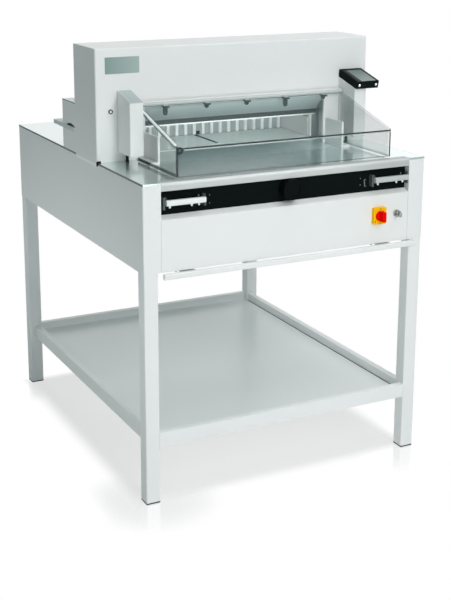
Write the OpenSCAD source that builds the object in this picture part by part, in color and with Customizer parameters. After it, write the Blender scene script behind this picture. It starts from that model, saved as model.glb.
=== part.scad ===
// Floor-standing electric paper cutter with a hinged clear cover.
// Millimetres, +Z up, the operator stands on the -Y side, origin under the middle of the machine.

/* [Body] */
// Width of the body between the outer faces of the side panels
body_w = 940; // [860:1:1040]
// Depth of the body from the front panel to the rear panel
body_d = 1118; // [1060:1:1180]
// Height of the table top above the floor
table_h = 957; // [900:1:1000]
// Height of the body box under the table top
body_h = 257; // [250:1:290]
// Thickness of the painted sheet metal
sheet = 2; // [1.5:0.1:3]
// Width of each front corner post
post_w = 55; // [48:1:70]
// Outer radius of the upright folds of the body
fold_r = 3.5; // [3:0.5:5]
// Gap between the front panel and the corner posts
panel_gap = 0.6; // [0.3:0.1:0.9]
// Drop of the sloping ledge below the operating strip
ledge_drop = 10; // [4:1:14]
// Width of the returns that hold the rear panel
rear_return = 30; // [20:1:50]
// Thickness of the steel table plates
table_t = 6; // [5:0.5:8]
// Depth of the rounded table nose
nose_d = 30; // [20:1:40]
// Height of the rounded table nose
nose_h = 24; // [18:1:30]
// Radius on the nose's upper front edge
nose_r = 9; // [4:0.5:12]
// Wall of the hollow table nose
nose_wall = 3; // [2:0.5:4]
// Height of the black operating strip
recess_h = 72; // [68:1:76]
// Depth of the black operating strip behind the front panel
recess_d = 22; // [18:1:28]
// Length of one vent slot in the rear panel
vent_l = 120; // [60:1:160]
// Height of one vent slot
vent_h = 6; // [4:0.5:10]
// Spacing of the vent slots
vent_pitch = 16; // [14:1:20]
// Number of vent slots in each field
vent_count = 7; // [3:1:9]
// Centre of each vent field from the rear panel's ends
vent_side = 218; // [140:1:280]

/* [Stand] */
// Outer size of a square leg
leg_w = 44; // [40:1:54]
// Wall of a leg
leg_wall = 3; // [2:0.5:5]
// Outer corner radius of a leg
leg_r = 4; // [3:0.5:6]
// Thickness of the plate that closes a leg's top
leg_cap = 8; // [5:1:12]
// How far the legs stand inside the body's faces
leg_inset = 1; // [0.5:0.5:5]
// Thickness of a foot pad
foot_h = 4; // [3:1:12]
// Height of the plug that holds a foot pad in its leg
foot_plug = 14; // [8:1:25]
// Height of the shelf tray's rims
rail_h = 42; // [36:1:50]
// Width of the shelf tray's rims
rail_w = 20; // [15:1:24]
// Wall of the shelf tray's rims
rail_wall = 2; // [1.5:0.5:3]
// Setback of the front and rear rims from a leg's outer face
rail_back = 1; // [0.5:0.5:10]
// Setback of the side rims from a leg's outer face
rail_side = 19; // [2:1:22]
// Height of the underside of the rims above the floor
rail_z = 175; // [120:1:260]
// Drop of the tray's floor below the top of its rims
shelf_drop = 26; // [15:1:32]

/* [Upper housing] */
// Distance of the housing's front face behind the front panel
housing_y = 343; // [338:1:350]
// Depth of the housing
housing_d = 180; // [176:1:190]
// Height of the housing above the table
housing_h = 339; // [320:1:380]
// How far the housing's sides lap below the table top
housing_lap = 12; // [8:1:20]
// Radius on the housing's front edges
housing_r = 5; // [3:0.5:8]
// Distance of the cutting throat's sides from the body's sides
throat_side = 156; // [150:1:160]
// Height of the throat at the front of the housing
throat_h = 163; // [158:1:166]
// Height of the throat at the rear of the housing
rear_throat_h = 88; // [70:1:100]
// Width of the bare plate on the housing
plate_w = 109; // [80:1:120]
// Height of the bare plate
plate_h = 49; // [35:1:60]
// Thickness of the bare plate
plate_t = 1; // [0.5:0.1:2]
// Distance of the bare plate from the housing's side
plate_side = 32; // [20:1:50]
// Distance of the bare plate from the housing's top
plate_top = 27; // [20:1:50]
// Diameter of the housing's cover locks
lock_d = 14; // [10:1:18]
// Height of the cover locks above the table
lock_z = 151; // [100:1:250]
// Distance of the cover locks from the housing's side
lock_side = 47; // [20:1:50]
// How far the cover locks stand out
lock_out = 3; // [2:0.5:5]

/* [Arms and control box] */
// Distance of the arms' outer faces from the body's sides
arm_side = 62; // [58:1:64]
// Offset of the arms and the cover to the right of the centre line
arm_shift = 5; // [0:1:8]
// Width of an arm
arm_w = 44; // [36:1:50]
// Reach of an arm in front of the housing
arm_d = 96; // [85:1:100]
// Clearance of an arm above the table
arm_clear = 29; // [20:1:40]
// Width of the control box
control_w = 82; // [70:1:95]
// Length of the control box along its slope
control_l = 112; // [106:1:118]
// Thickness of the control box
control_t = 24; // [20:1:30]
// Slope of the control box in degrees
control_tilt = 15; // [10:1:20]
// Reach of the control box's upper front edge in front of the housing
control_out = 111; // [105:1:116]
// Height of the control box's upper front edge above the table
control_z = 207.6; // [200:0.1:215]
// Margin round the control screen
screen_margin = 9; // [6:0.5:12]
// Depth of the control screen in the box
screen_t = 1.5; // [1:0.1:2.5]
// Diameter of the control buttons
button_d = 9; // [6:0.5:11]
// Distance of the control buttons from the sides of the box
button_side = 10; // [8:0.5:14]
// How far the control buttons stand out
button_out = 4; // [3:0.5:6]
// Depth of the bores for the control buttons
button_bore = 12; // [8:1:16]

/* [Clear cover] */
// Gap between the clear cover and an arm
hood_side = 6; // [4:0.5:9]
// Distance of the cover's front behind the front panel
hood_front = 30; // [10:1:50]
// Gap between the cover and the table
hood_gap = 4; // [2:0.5:8]
// Height of the cover's upright front
hood_h = 86; // [70:1:95]
// Thickness of the clear sheet
hood_t = 5; // [3:0.5:6]
// Outer radius of the bend in the clear sheet
hood_r = 10; // [8:0.5:16]
// Gap between the clear sheet and the hinge tube
hood_tube_gap = 4; // [3.5:0.5:6]
// Distance of the hinge axis in front of the housing
hinge_out = 18; // [16:0.5:24]
// Height of the hinge axis above the table
hinge_z = 170; // [162:1:175]
// Drop of the clear sheet's upper edge below the hinge axis
hinge_drop = 2; // [0:0.5:4]
// Diameter of the hinge tube
tube_d = 18; // [14:0.5:22]
// Diameter of the hinge pins
pin_d = 10; // [6:0.5:12]
// Length of a hinge pin inside the tube
pin_in = 14; // [8:1:20]
// Depth of a hinge pin in its arm
pin_seat = 10; // [6:1:14]
// Width of a cover clip
clip_w = 15; // [10:1:30]
// Thickness of a cover clip
clip_t = 3; // [2:0.5:4]
// Length of a cover clip along the clear sheet
clip_l = 9; // [8:1:50]
// Length of the long tongue under every third clip
clip_tab = 29; // [22:1:32]
// Length of the short tongue under the other clips
clip_drop = 15; // [12:1:20]
// Distance of the outer clips from the cover's sides, on the average
clip_end = 81; // [60:1:100]
// Offset of the middle clip to the right of the cover's middle
clip_shift = 14; // [0:1:25]
// Number of cover clips
clip_count = 5; // [3:2:5]

/* [Knife and clamp] */
// Distance of the cut line behind the front panel
cut_y = 430; // [429:0.5:432]
// Clear height under the raised blade
cut_h = 80; // [70:1:85]
// Distance of the blade's ends from the side frames
blade_side = 6; // [4:0.5:20]
// Height of the blade
blade_h = 90; // [80:1:110]
// Thickness of the blade
blade_t = 10; // [8:0.5:12]
// Height of the ground bevel on the blade
bevel_h = 25; // [18:1:35]
// Height of the blade's screws above the blade's edge
bolt_z = 65; // [50:1:75]
// Number of blade screws
bolt_count = 6; // [4:1:8]
// Distance of the outer blade screws from the blade's ends
bolt_end = 54; // [40:1:70]
// Shank diameter of a blade screw
bolt_d = 8; // [6:0.5:10]
// Head diameter of a blade screw
bolt_head_d = 15; // [12:0.5:18]
// Head height of a blade screw
bolt_head_h = 7; // [5:0.5:9]
// Thickness of the knife beam
knife_t = 24; // [20:1:26]
// Height of the knife beam
knife_h = 170; // [150:1:180]
// Gap between the blade and the clamp beam
knife_gap = 2; // [1:0.5:4]
// Thickness of the clamp beam
clamp_t = 38; // [32:1:40]
// Height of the clamp beam
clamp_h = 162; // [140:1:180]
// Width of the comb slots in the clamp beam
comb_w = 12; // [11:0.5:16]
// Depth of the comb slots in the clamp beam
comb_d = 15; // [8:1:20]
// Height of the comb slots in the clamp beam
comb_h = 20; // [10:1:30]
// Width of the cutting stick
stick_w = 10; // [8:0.5:14]
// Height of the cutting stick
stick_h = 12; // [10:0.5:16]
// Distance of the cutting stick's ends from the side frames
stick_side = 3; // [2:0.5:10]
// Slope of the sheet in front of the knife, in degrees
shield_slope = 44; // [40:1:48]
// Height of the shield's lower edge above the table
shield_z = 108; // [100:1:112]

/* [Machine frame and drive] */
// Distance of the side frames outside the throat's sides
frame_step = 26; // [10:1:30]
// Width of a side frame
frame_w = 82; // [76:1:90]
// Thickness of a side frame's outer wall
frame_wall = 29; // [24:1:34]
// Front wall of a side frame ahead of the knife beam
frame_front = 24; // [20:1:28]
// Rear wall of a side frame behind the clamp beam
frame_rear = 15; // [12:1:20]
// Height of the side frames above the table plates
frame_h = 305; // [290:1:320]
// Running clearance of the beams in the side frames
guide_gap = 0.4; // [0.3:0.1:0.6]
// Height of the cast bed under the table plates
bed_h = 81; // [78:1:86]
// Thickness of the bed's top above its pockets
bed_top = 30; // [22:1:40]
// Number of pockets in each half of the bed
bed_pockets = 2; // [1:1:3]
// Wall between the bed's pockets
bed_rib = 24; // [16:1:40]
// Thickness of a pull rod
rod_t = 10; // [8:0.5:10]
// Width of a pull rod
rod_w = 24; // [20:1:26]
// Crank throw, half of the knife's full stroke
crank_r = 41; // [41:0.5:44]
// Height of the crankshaft above the bottom pan
crank_z = 93; // [88:1:95]
// Diameter of the crankshaft
shaft_d = 30; // [24:1:36]
// Diameter of a crank pin
crank_pin_d = 20; // [16:1:22]
// Thickness of a crank disc
disc_t = 12; // [10:1:14]
// Radius of a crank disc
disc_r = 58; // [56:1:64]
// Free play of the crank pin in the pull rod's slot
slot_play = 10; // [9.5:0.5:12]
// Wall round the slot of a pull rod
slot_wall = 10; // [8:0.5:10]
// Diameter of a clamp rod
clamp_rod_d = 14; // [10:1:18]
// Outer diameter of a clamp cylinder
cylinder_d = 32; // [28:1:33]
// Height of a clamp cylinder
cylinder_h = 160; // [150:1:166]
// Length of a clamp rod inside its cylinder at rest
clamp_rod_in = 62; // [50:1:66]
// Gap between a crank disc and its bearing
bearing_gap = 8; // [4:1:20]
// Thickness of the shaft bearings
bearing_t = 28; // [20:1:36]
// Width of the shaft bearings
bearing_w = 64; // [54:1:80]
// Width of the gear casing
gear_w = 110; // [90:1:130]
// Depth of the gear casing
gear_d = 140; // [120:1:160]
// Height of the gear casing
gear_h = 160; // [150:1:164]
// Middle of the gear casing from the centre line
gear_x = 155; // [130:1:165]
// Diameter of the drive motor
motor_d = 120; // [100:1:130]
// Length of the drive motor
motor_l = 200; // [160:1:240]
// Depth of the motor's cooling ribs
motor_rib = 4; // [2:0.5:6]
// Running clearance of shafts in their bores, on the radius
run_gap = 0.05; // [0.02:0.01:0.1]

/* [Backgauge] */
// Distance of the backgauge behind the cut line at rest
gauge_rest = 228; // [200:1:300]
// Distance of the backgauge's ends from the rear lays
gauge_side = 4; // [2:0.5:20]
// Height of the backgauge
gauge_h = 60; // [50:1:62]
// Thickness of the backgauge's plate
gauge_t = 10; // [8:0.5:14]
// Depth of the backgauge's fingers
finger_d = 8; // [5:0.5:12]
// Width of a backgauge finger
finger_w = 10; // [6:0.5:10.5]
// Distance of the outer fingers from the backgauge's ends
finger_end = 6; // [4:1:30]
// Number of backgauge fingers
finger_count = 21; // [15:2:21]
// Gap between the backgauge and the table
gauge_gap = 0.3; // [0.2:0.1:0.6]
// Width of the slot in the rear table
slot_w = 11; // [9:0.5:16]
// Front end of the slot behind the cut line
slot_y = 59; // [57:1:59]
// Length of the slot in the rear table
slot_l = 505; // [490:1:520]
// Side clearance of the carrier in the slot
carrier_gap = 0.5; // [0.3:0.1:0.8]
// Length of the carrier in the slot
carrier_l = 20; // [14:1:24]
// Drop of the spindle's axis below the table plates
spindle_drop = 71; // [70:1:74]
// Diameter of the spindle
spindle_d = 20; // [14:1:22]
// Width of the spindle nut and its bearings
nut_w = 40; // [36:1:46]
// Length of the spindle nut
nut_l = 40; // [30:1:44]
// Thickness of the carrier's arm under the table
carrier_t = 28; // [24:1:29]
// Thickness of the spindle bearings
spindle_bearing_t = 20; // [14:1:22]
// Distance of the rear spindle bearing in front of the rear panel
spindle_rear = 68; // [60:1:80]
// Diameter of the gauge motor
gauge_motor_d = 58; // [50:1:64]
// Length of the gauge motor
gauge_motor_l = 38; // [30:1:40]

/* [Side lays and rear guard] */
// Distance of the side lays outside the throat's sides
lay_side = 2; // [1:0.5:4]
// Thickness of a side lay
lay_t = 7; // [5:0.5:8]
// Height of a side lay
lay_h = 82; // [60:1:85]
// Length of a side lay
lay_l = 100; // [80:1:110]
// Width of a side lay's foot
lay_foot = 24; // [16:1:26]
// Gap between a rear lay's top and the rear shelf's lip
rear_lay_gap = 2; // [1:0.5:6]
// Length of a rear lay
rear_lay_l = 420; // [300:1:560]
// Depth of the rear guard
guard_d = 121; // [100:1:150]
// Height of the rear guard
guard_h = 155; // [130:1:180]
// Height of the rear shelf's top above the table
deck_z = 77; // [74:1:84]
// Height of the rear shelf's turned-down lip
deck_lip = 13; // [8:1:14]
// Distance of the rear shelf's front edge behind the housing
deck_gap = 24; // [16:1:40]
// Depth of the rear shelf
deck_d = 181; // [160:1:220]
// Width of the flat arched cut-out in each guard side
guard_cut_w = 84; // [60:1:88]
// Height of the flat arched cut-out
guard_cut_h = 9; // [5:0.5:14]
// Distance of the cut-out's middle behind the housing
guard_cut_y = 46; // [45:1:70]

/* [Operating strip] */
// Diameter of the handwheel
wheel_d = 62; // [50:1:63]
// Thickness of the handwheel
wheel_t = 32; // [24:1:36]
// Gap behind the handwheel
wheel_gap = 2; // [1:0.5:3]
// Height of the table's nose above the handwheel's axis
wheel_drop = 33; // [32:0.5:36]
// Depth of the dish in the handwheel's face
wheel_dish = 3; // [1:0.5:6]
// Number of grip flutes round the handwheel
wheel_flutes = 24; // [16:1:36]
// Diameter of the handwheel's shaft
wheel_shaft_d = 10; // [6:0.5:14]
// Length of the handwheel's shaft behind the strip
wheel_shaft_l = 18; // [8:1:30]
// Length of a start lever
lever_l = 120; // [100:1:124]
// Height of a start lever
lever_h = 16; // [14:1:18]
// Thickness of a start lever
lever_t = 14; // [10:1:16]
// Distance of the left start lever's left end from its corner post
lever_left = 16; // [12:0.5:20]
// Distance of the right start lever's right end from its corner post
lever_right = 4; // [4:0.5:8]
// Height of a start lever's underside above the strip's lower edge
lever_z = 29; // [26:1:32]
// How far a start lever stands in front of the body
lever_out = 6; // [2:0.5:12]
// Thickness of a lever ear
ear_t = 4; // [3:0.5:6]
// Gap beside a start lever
lever_gap = 1; // [0.5:0.1:1.5]
// Thickness of the bracket at a lever's left end
bracket_t = 6; // [4:0.5:8]
// Thickness of the bracket at a lever's right end
tab_t = 2.4; // [1.5:0.1:2.5]
// Height of a lever bracket
bracket_h = 35; // [32:1:38]
// Distance of a lever bracket's front edge in front of the lever's pivot
bracket_out = 7; // [5:0.5:10]
// Diameter of a lever's trunnions
trunnion_d = 6; // [4:0.5:7]
// Distance of a lever's pivot in front of the strip
trunnion_out = 10; // [9:0.5:12]
// Distance of a lever's pivot above its underside
trunnion_z = 18; // [16:0.5:20]

/* [Switch and key] */
// Middle of the switch plate from the right corner post
switch_side = 109; // [95:1:120]
// Height of the switch and the lock below the table top
switch_drop = 168; // [150:1:180]
// Width of the switch plate
switch_w = 45; // [42:1:60]
// Height of the switch plate
switch_h = 52; // [46:1:64]
// Thickness of the switch plate
switch_t = 12; // [8:1:16]
// Corner radius of the switch plate
switch_r = 5; // [3:0.5:8]
// Diameter of the switch knob's skirt
knob_d = 32; // [28:1:42]
// Thickness of the switch knob's skirt
knob_skirt = 6; // [4:0.5:8]
// Depth of the switch knob's grip
knob_grip = 18; // [14:0.5:20]
// Thickness of the switch knob's grip
knob_grip_t = 13; // [9:0.5:16]
// Diameter of the switch knob's shaft
knob_shaft_d = 12; // [8:0.5:14]
// Gap under the switch knob
knob_gap = 0.5; // [0.3:0.1:1]
// Middle of the key lock from the right corner post
key_side = 43; // [35:1:60]
// Diameter of the key lock's flange
key_flange_d = 22; // [18:0.5:26]
// Diameter of the key lock's barrel
key_barrel_d = 18.6; // [14:0.2:19]
// Thickness of the key lock's flange
key_flange_t = 8; // [5:0.5:10]
// Length of the key lock's barrel behind the panel
key_barrel_l = 24; // [16:1:36]
// Diameter of the key's shank
key_shank_d = 6; // [4:0.5:8]
// Length of the key's shank inside the lock
key_in = 20; // [12:1:26]
// Diameter of the key's bow
key_bow_d = 21; // [16:0.5:24]
// Thickness of the key's bow
key_bow_t = 2.5; // [2:0.5:4]
// Gap between the key's bow and the lock
key_gap = 3; // [2:0.5:4]
// Clearance of fixed round pieces in their panel holes, on the radius
hole_gap = 0.2; // [0.1:0.1:0.5]

/* [Knee bar] */
// Distance of the knee bar's ends from the body's sides
knee_side = 45; // [40:1:55]
// Height of the knee bar
knee_h = 16; // [12:1:20]
// Thickness of the knee bar
knee_t = 15; // [12:1:18]
// Wall of the knee bar
knee_wall = 2; // [1.5:0.5:3]
// Gap between the knee bar and the front panel's face
knee_out = 5; // [4:0.5:8]
// Gap between the knee bar's hangers and the body
knee_drop = 5; // [4:0.5:8]
// Height of the knee bar's top above the hangers' underside
knee_rise = 7; // [5:0.5:9]
// Distance of the knee bar's middle to the right of the machine's
knee_shift = 12; // [0:1:15]
// Thickness of the knee bar's hangers
hanger_t = 4; // [3:0.5:6]
// Width of a hanger at the bar
hanger_w = 52; // [40:1:60]
// Width of a hanger at its pivot
hanger_eye_w = 34; // [26:1:38]
// Distance of the hangers from the knee bar's ends
hanger_side = 93; // [80:1:140]
// Distance of the knee bar's pivot behind the front panel
knee_pivot_y = 50; // [40:1:60]
// Diameter of the knee bar's pivot pin
knee_pin_d = 6; // [5:0.5:7]
// Outer diameter of the hanger's eye
eye_d = 11; // [9:0.5:12]
// Thickness of the pivot's lugs
lug_t = 5; // [4:0.5:8]
// Gap between a hanger's eye and its lugs
lug_gap = 0.5; // [0.3:0.1:1]

/* [Hidden] */
$fn = 64;
cut = 1;
bend_steps = 12;

// The switch knob stands furthest forward, and the origin lies midway between it and the rear panel
front_out = switch_t + knob_gap + knob_skirt + knob_grip;
front_y = -(body_d - front_out) / 2;

// Heights
body_z = table_h - body_h;
plate_z = table_h - table_t;
pan_top = body_z + sheet;
nose_z = table_h - nose_h;
strip_z = nose_z - recess_h;
housing_top = table_h + housing_h;
rail_top = rail_z + rail_h;
shelf_z = rail_top - shelf_drop;

// Half widths of the body and the front opening between its posts
half_w = body_w / 2;
inner_w = half_w - sheet;
bay_w = half_w - post_w;
throat_half = half_w - throat_side;
switch_x = bay_w - switch_side;
lock_x = bay_w - key_side;
lever_left_x = lever_left - bay_w;
lever_right_x = bay_w - lever_right - lever_l;
knee_l = body_w - 2 * knee_side;
hanger_x = knee_l / 2 - hanger_side;
seat_gap = 0.05;
housing_half = half_w + sheet;
housing_rear_y = housing_y + housing_d;

// Stand
leg_out = half_w - leg_inset;
leg_in = leg_out - leg_w;
leg_y0 = leg_inset;
leg_y1 = body_d - leg_inset - leg_w;
rail_out = leg_out - rail_side;
rail_in = rail_out - rail_w;

// Control box and arms share one sloping line
control_y = housing_y - control_out;
control_top = table_h + control_z;
control_low_y = control_y + control_t * sin(control_tilt);
control_low_z = control_top - control_t * cos(control_tilt);
arm_in = half_w - arm_side - arm_w;
arm_y = housing_y - arm_d;
arm_low = table_h + arm_clear;
function arm_top(y) = control_low_z + (y - control_low_y) * tan(control_tilt) - seat_gap;

// Hinge axis and the clear cover's outline
hinge_y = housing_y - hinge_out;
axis_z = table_h + hinge_z;
hood_low = table_h + hood_gap;
hood_corner_z = hood_low + hood_h;
hood_end = hinge_y - tube_d / 2 - hood_tube_gap;
hood_slope = atan2(axis_z - hinge_drop - hood_corner_z, hood_end - hood_front);
hood_half = arm_in - hood_side;
hood_w = 2 * hood_half;
clip_pitch = (hood_w - 2 * clip_end) / (clip_count - 1);
tube_half = arm_in - clip_t;

// Knife, clamp and the guides in the side frames
blade_edge = table_h + cut_h;
knife_y1 = cut_y - blade_t;
knife_y0 = knife_y1 - knife_t;
knife_z = blade_edge + bevel_h;
clamp_y0 = cut_y + knife_gap;
clamp_y1 = clamp_y0 + clamp_t;
clamp_z = blade_edge + cut;
frame_in = throat_half + frame_step;
blade_l = 2 * (frame_in - blade_side);
bolt_pitch = (blade_l - 2 * bolt_end) / (bolt_count - 1);
stick_l = 2 * (frame_in - stick_side);
frame_out = frame_in + frame_w;
guide_out = frame_out - frame_wall;
beam_half = guide_out - guide_gap;
frame_y0 = knife_y0 - frame_front;
frame_y1 = clamp_y1 + frame_rear;
rear_lay_h = deck_z - deck_lip - rear_lay_gap;
bed_z = plate_z - bed_h;
rod_in = frame_in + 3;
rod_y = (knife_y0 + knife_y1) / 2;
clamp_rod_x = guide_out - cylinder_d / 2 - cut;
clamp_rod_y = (clamp_y0 + clamp_y1) / 2;

// Crank drive
shaft_z = pan_top + crank_z;
crank_pin_r = crank_pin_d / 2;
disc_out = rod_in - 3;
bearing_x = disc_out - disc_t - bearing_gap - bearing_t;
yoke_half = crank_r + crank_pin_r + slot_wall + 1.5;
yoke_half_h = crank_pin_r + slot_play + slot_wall;
yoke_z = shaft_z + crank_r;

// Backgauge, its carrier and the spindle
gauge_y = cut_y + gauge_rest;
gauge_w = 2 * (frame_in - gauge_side);
finger_pitch = (gauge_w - 2 * finger_end - finger_w) / (finger_count - 1);
carrier_y = gauge_y + finger_d + gauge_t;
spindle_z = plate_z - spindle_drop;
nut_y0 = carrier_y + carrier_l + 17;
nut_y1 = nut_y0 + nut_l;
carrier_low = plate_z - 6 - carrier_t;
spindle_y0 = frame_y1;
spindle_y1 = body_d - spindle_rear;

// Operating strip
strip_y = recess_d;
wheel_z = nose_z - wheel_drop;
lever_low = strip_z + lever_z;
trunnion_y = strip_y - trunnion_out;
trunnion_h = lever_low + trunnion_z;
bracket_z = lever_low + trunnion_z - bracket_h + trunnion_d / 2 + 2;

// Switch, lock and knee bar
switch_z = table_h - switch_drop;
hanger_z = body_z - knee_drop - hanger_t;
knee_z = hanger_z + knee_rise - knee_h;
knee_y = -knee_out - knee_t;
knee_axis_z = hanger_z + hanger_t - eye_d / 2;

// Box between two opposite corners
module slab(low, high) {
  translate(low) cube(high - low);
}

// The machine's own frame has Y = 0 on the front panel's face
module placed() {
  translate([0, front_y, 0]) children();
}

// The children on both sides of the centre plane
module both_sides() {
  children();
  mirror([1, 0, 0]) children();
}

// A profile drawn in Y and Z, run along X about the centre plane
module along_x(length) {
  rotate([90, 0, 90]) linear_extrude(length, center = true) children();
}

// A round bar along X
module bar_x(d, x0, x1) {
  translate([x0, 0, 0]) rotate([0, 90, 0]) cylinder(d = d, h = x1 - x0);
}

// A round bar along Y
module bar_y(d, y0, y1) {
  translate([0, y0, 0]) rotate([-90, 0, 0]) cylinder(d = d, h = y1 - y0);
}

// A flat rectangle with round corners
module rounded(w, h, r) {
  square([w - 2 * r, h], center = true);
  square([w, h - 2 * r], center = true);
  for (x = [-1, 1], y = [-1, 1]) translate([x * (w / 2 - r), y * (h / 2 - r)]) circle(r);
}

// Stand

module leg(x0, y0) {
  hollow = leg_w - 2 * leg_wall;
  difference() {
    translate([x0 + leg_w / 2, y0 + leg_w / 2, foot_h])
      linear_extrude(body_z - foot_h) rounded(leg_w, leg_w, leg_r);
    translate([x0 + leg_wall, y0 + leg_wall, foot_h - cut])
      cube([hollow, hollow, body_z - foot_h - leg_cap + cut]);
  }
}

module leg_front_left() {
  color("gainsboro") placed() leg(-leg_out, leg_y0);
}

module leg_front_right() {
  color("gainsboro") placed() leg(leg_in, leg_y0);
}

module leg_rear_left() {
  color("gainsboro") placed() leg(-leg_out, leg_y1);
}

module leg_rear_right() {
  color("gainsboro") placed() leg(leg_in, leg_y1);
}

module foot_pads() {
  plug = leg_w - 2 * leg_wall;
  color("dimgray") placed() both_sides() for (y = [leg_y0, leg_y1]) translate([leg_in, y, 0]) {
    translate([leg_w / 2, leg_w / 2, 0]) linear_extrude(foot_h) rounded(leg_w, leg_w, leg_r);
    translate([leg_wall, leg_wall, 0]) cube([plug, plug, foot_h + foot_plug]);
  }
}

module rim_section() {
  difference() {
    square([rail_w, rail_h]);
    translate([rail_wall, rail_wall]) square([rail_w - 2 * rail_wall, rail_h - 2 * rail_wall]);
  }
}

// One folded tray: a floor notched round the legs and a box rim between each two legs
module shelf_tray() {
  front = leg_y0 + rail_back;
  rear = body_d - front - rail_w;
  length = leg_y1 - leg_y0 - leg_w;
  low = shelf_z - sheet;
  color("gainsboro") placed() {
    for (y = [front, rear]) translate([0, y, rail_z]) along_x(2 * leg_in) rim_section();
    both_sides() translate([rail_in, leg_y1, rail_z]) rotate([90, 0, 0]) linear_extrude(length) rim_section();
    slab([-leg_in, front + rail_w - rail_wall, low], [leg_in, rear + rail_wall, shelf_z]);
    both_sides() slab([leg_in - cut, leg_y0 + leg_w, low], [rail_in + rail_wall, leg_y1, shelf_z]);
  }
}

// Body panels

// Plan of a side panel's outer skin, drawn in by a wall
module panel_plan(wall) {
  start = bay_w - 2 * fold_r - wall;
  translate([(start + half_w - wall) / 2, body_d / 2])
    rounded(half_w - wall - start, body_d - 2 * wall, fold_r - wall);
}

module side_panel() {
  translate([0, 0, body_z]) linear_extrude(plate_z - body_z) difference() {
    panel_plan(0);
    panel_plan(sheet);
    translate([0, -cut]) square([bay_w, body_d + 2 * cut]);
    translate([0, body_d / 2]) square([inner_w - rear_return, body_d]);
  }
  slab([bay_w, sheet - seat_gap, pan_top], [bay_w + sheet, strip_y + sheet, plate_z]);
}

module side_panel_left() {
  color("gainsboro") placed() mirror([1, 0, 0]) side_panel();
}

module side_panel_right() {
  color("gainsboro") placed() side_panel();
}

module front_panel() {
  ledge = strip_z - ledge_drop;
  color("whitesmoke") placed() difference() {
    along_x(2 * (bay_w - panel_gap)) polygon([
      [0, body_z], [0, ledge], [strip_y, strip_z], [strip_y + sheet, strip_z],
      [strip_y + sheet, strip_z - sheet], [sheet, ledge - sheet], [sheet, body_z]
    ]);
    translate([switch_x, 0, switch_z]) bar_y(knob_shaft_d + 2 * hole_gap, -cut, sheet + cut);
    translate([lock_x, 0, switch_z]) bar_y(key_barrel_d + 2 * hole_gap, -cut, sheet + cut);
  }
}

module strip_panel() {
  color([0.06, 0.07, 0.07]) placed() difference() {
    slab([-bay_w, strip_y, strip_z], [bay_w, strip_y + sheet, nose_z]);
    translate([0, 0, wheel_z]) bar_y(wheel_shaft_d + 2 * run_gap, strip_y - cut, strip_y + sheet + cut);
  }
}

module rear_panel() {
  edge = inner_w - rear_return;
  vent_x = edge - vent_side;
  middle = (body_z + plate_z) / 2;
  color("gainsboro") placed() difference() {
    slab([-edge, body_d - sheet, body_z], [edge, body_d, plate_z]);
    both_sides() for (i = [0 : vent_count - 1])
      translate([vent_x, body_d, middle + (i - (vent_count - 1) / 2) * vent_pitch])
        cube([vent_l, 4 * sheet, vent_h], center = true);
  }
}

module bottom_pan() {
  color("lightgray") placed() translate([0, body_d / 2, body_z]) linear_extrude(sheet)
    rounded(2 * inner_w, body_d - 2 * sheet, fold_r);
}

// Table, cutting stick and the machine frame

module frame_cutouts() {
  both_sides() slab([frame_in, frame_y0, plate_z - cut], [frame_out, frame_y1, table_h + cut]);
}

module stick_space() {
  slab([-stick_l / 2, cut_y - stick_w / 2, table_h - stick_h],
    [stick_l / 2, cut_y + stick_w / 2, table_h + cut]);
}

module table_front() {
  color("darkgray") placed() difference() {
    slab([-half_w, 0, plate_z], [half_w, cut_y, table_h]);
    slab([-bay_w, -cut, plate_z - cut], [bay_w, nose_d, table_h + cut]);
    frame_cutouts();
    stick_space();
  }
}

module table_rear() {
  color("darkgray") placed() difference() {
    slab([-half_w, cut_y, plate_z], [half_w, body_d, table_h]);
    slab([-slot_w / 2, cut_y + slot_y, plate_z - cut], [slot_w / 2, cut_y + slot_y + slot_l, table_h + cut]);
    frame_cutouts();
    stick_space();
  }
}

module nose_profile() {
  difference() {
    square([nose_d, nose_h]);
    translate([-cut, nose_h - nose_r]) square([nose_r + cut, nose_r + cut]);
  }
  translate([nose_r, nose_h - nose_r]) circle(nose_r);
}

module table_nose() {
  color("silver") placed() translate([0, 0, nose_z]) along_x(2 * bay_w) difference() {
    nose_profile();
    translate([nose_r, nose_wall]) square([nose_d - nose_r - nose_wall, nose_h - 2 * nose_wall]);
  }
}

module cutting_stick() {
  low = table_h - stick_h;
  color("tomato") placed()
    slab([-stick_l / 2, cut_y - stick_w / 2, low], [stick_l / 2, cut_y + stick_w / 2, table_h]);
}

// The passages of the pull rods and the clamp rods through the bed
module rod_passages() {
  play = 2 * guide_gap;
  both_sides() {
    translate([rod_in + rod_t / 2, rod_y, bed_z + bed_h / 2])
      cube([rod_t + play, rod_w + play, 2 * bed_h], center = true);
    translate([clamp_rod_x, clamp_rod_y, bed_z - cut]) cylinder(d = clamp_rod_d + play, h = bed_h + 2 * cut);
  }
}

module bed_frame() {
  span = frame_in - nut_w;
  pocket = (span - (bed_pockets + 1) * bed_rib) / bed_pockets;
  color("slategray") placed() difference() {
    slab([-inner_w, frame_y0, bed_z], [inner_w, frame_y1, plate_z]);
    stick_space();
    rod_passages();
    both_sides() for (i = [0 : bed_pockets - 1])
      translate([nut_w + bed_rib + i * (pocket + bed_rib), frame_y0 + bed_rib, bed_z - cut])
        cube([pocket, frame_y1 - frame_y0 - 2 * bed_rib, bed_h - bed_top + cut]);
  }
}

module side_frames() {
  color("slategray") placed() both_sides() difference() {
    slab([frame_in, frame_y0, plate_z], [frame_out, frame_y1, plate_z + frame_h]);
    slab([frame_in - cut, knife_y0 - guide_gap, plate_z - cut],
      [guide_out, clamp_y1 + guide_gap, plate_z + frame_h + cut]);
  }
}

// Upper housing

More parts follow.
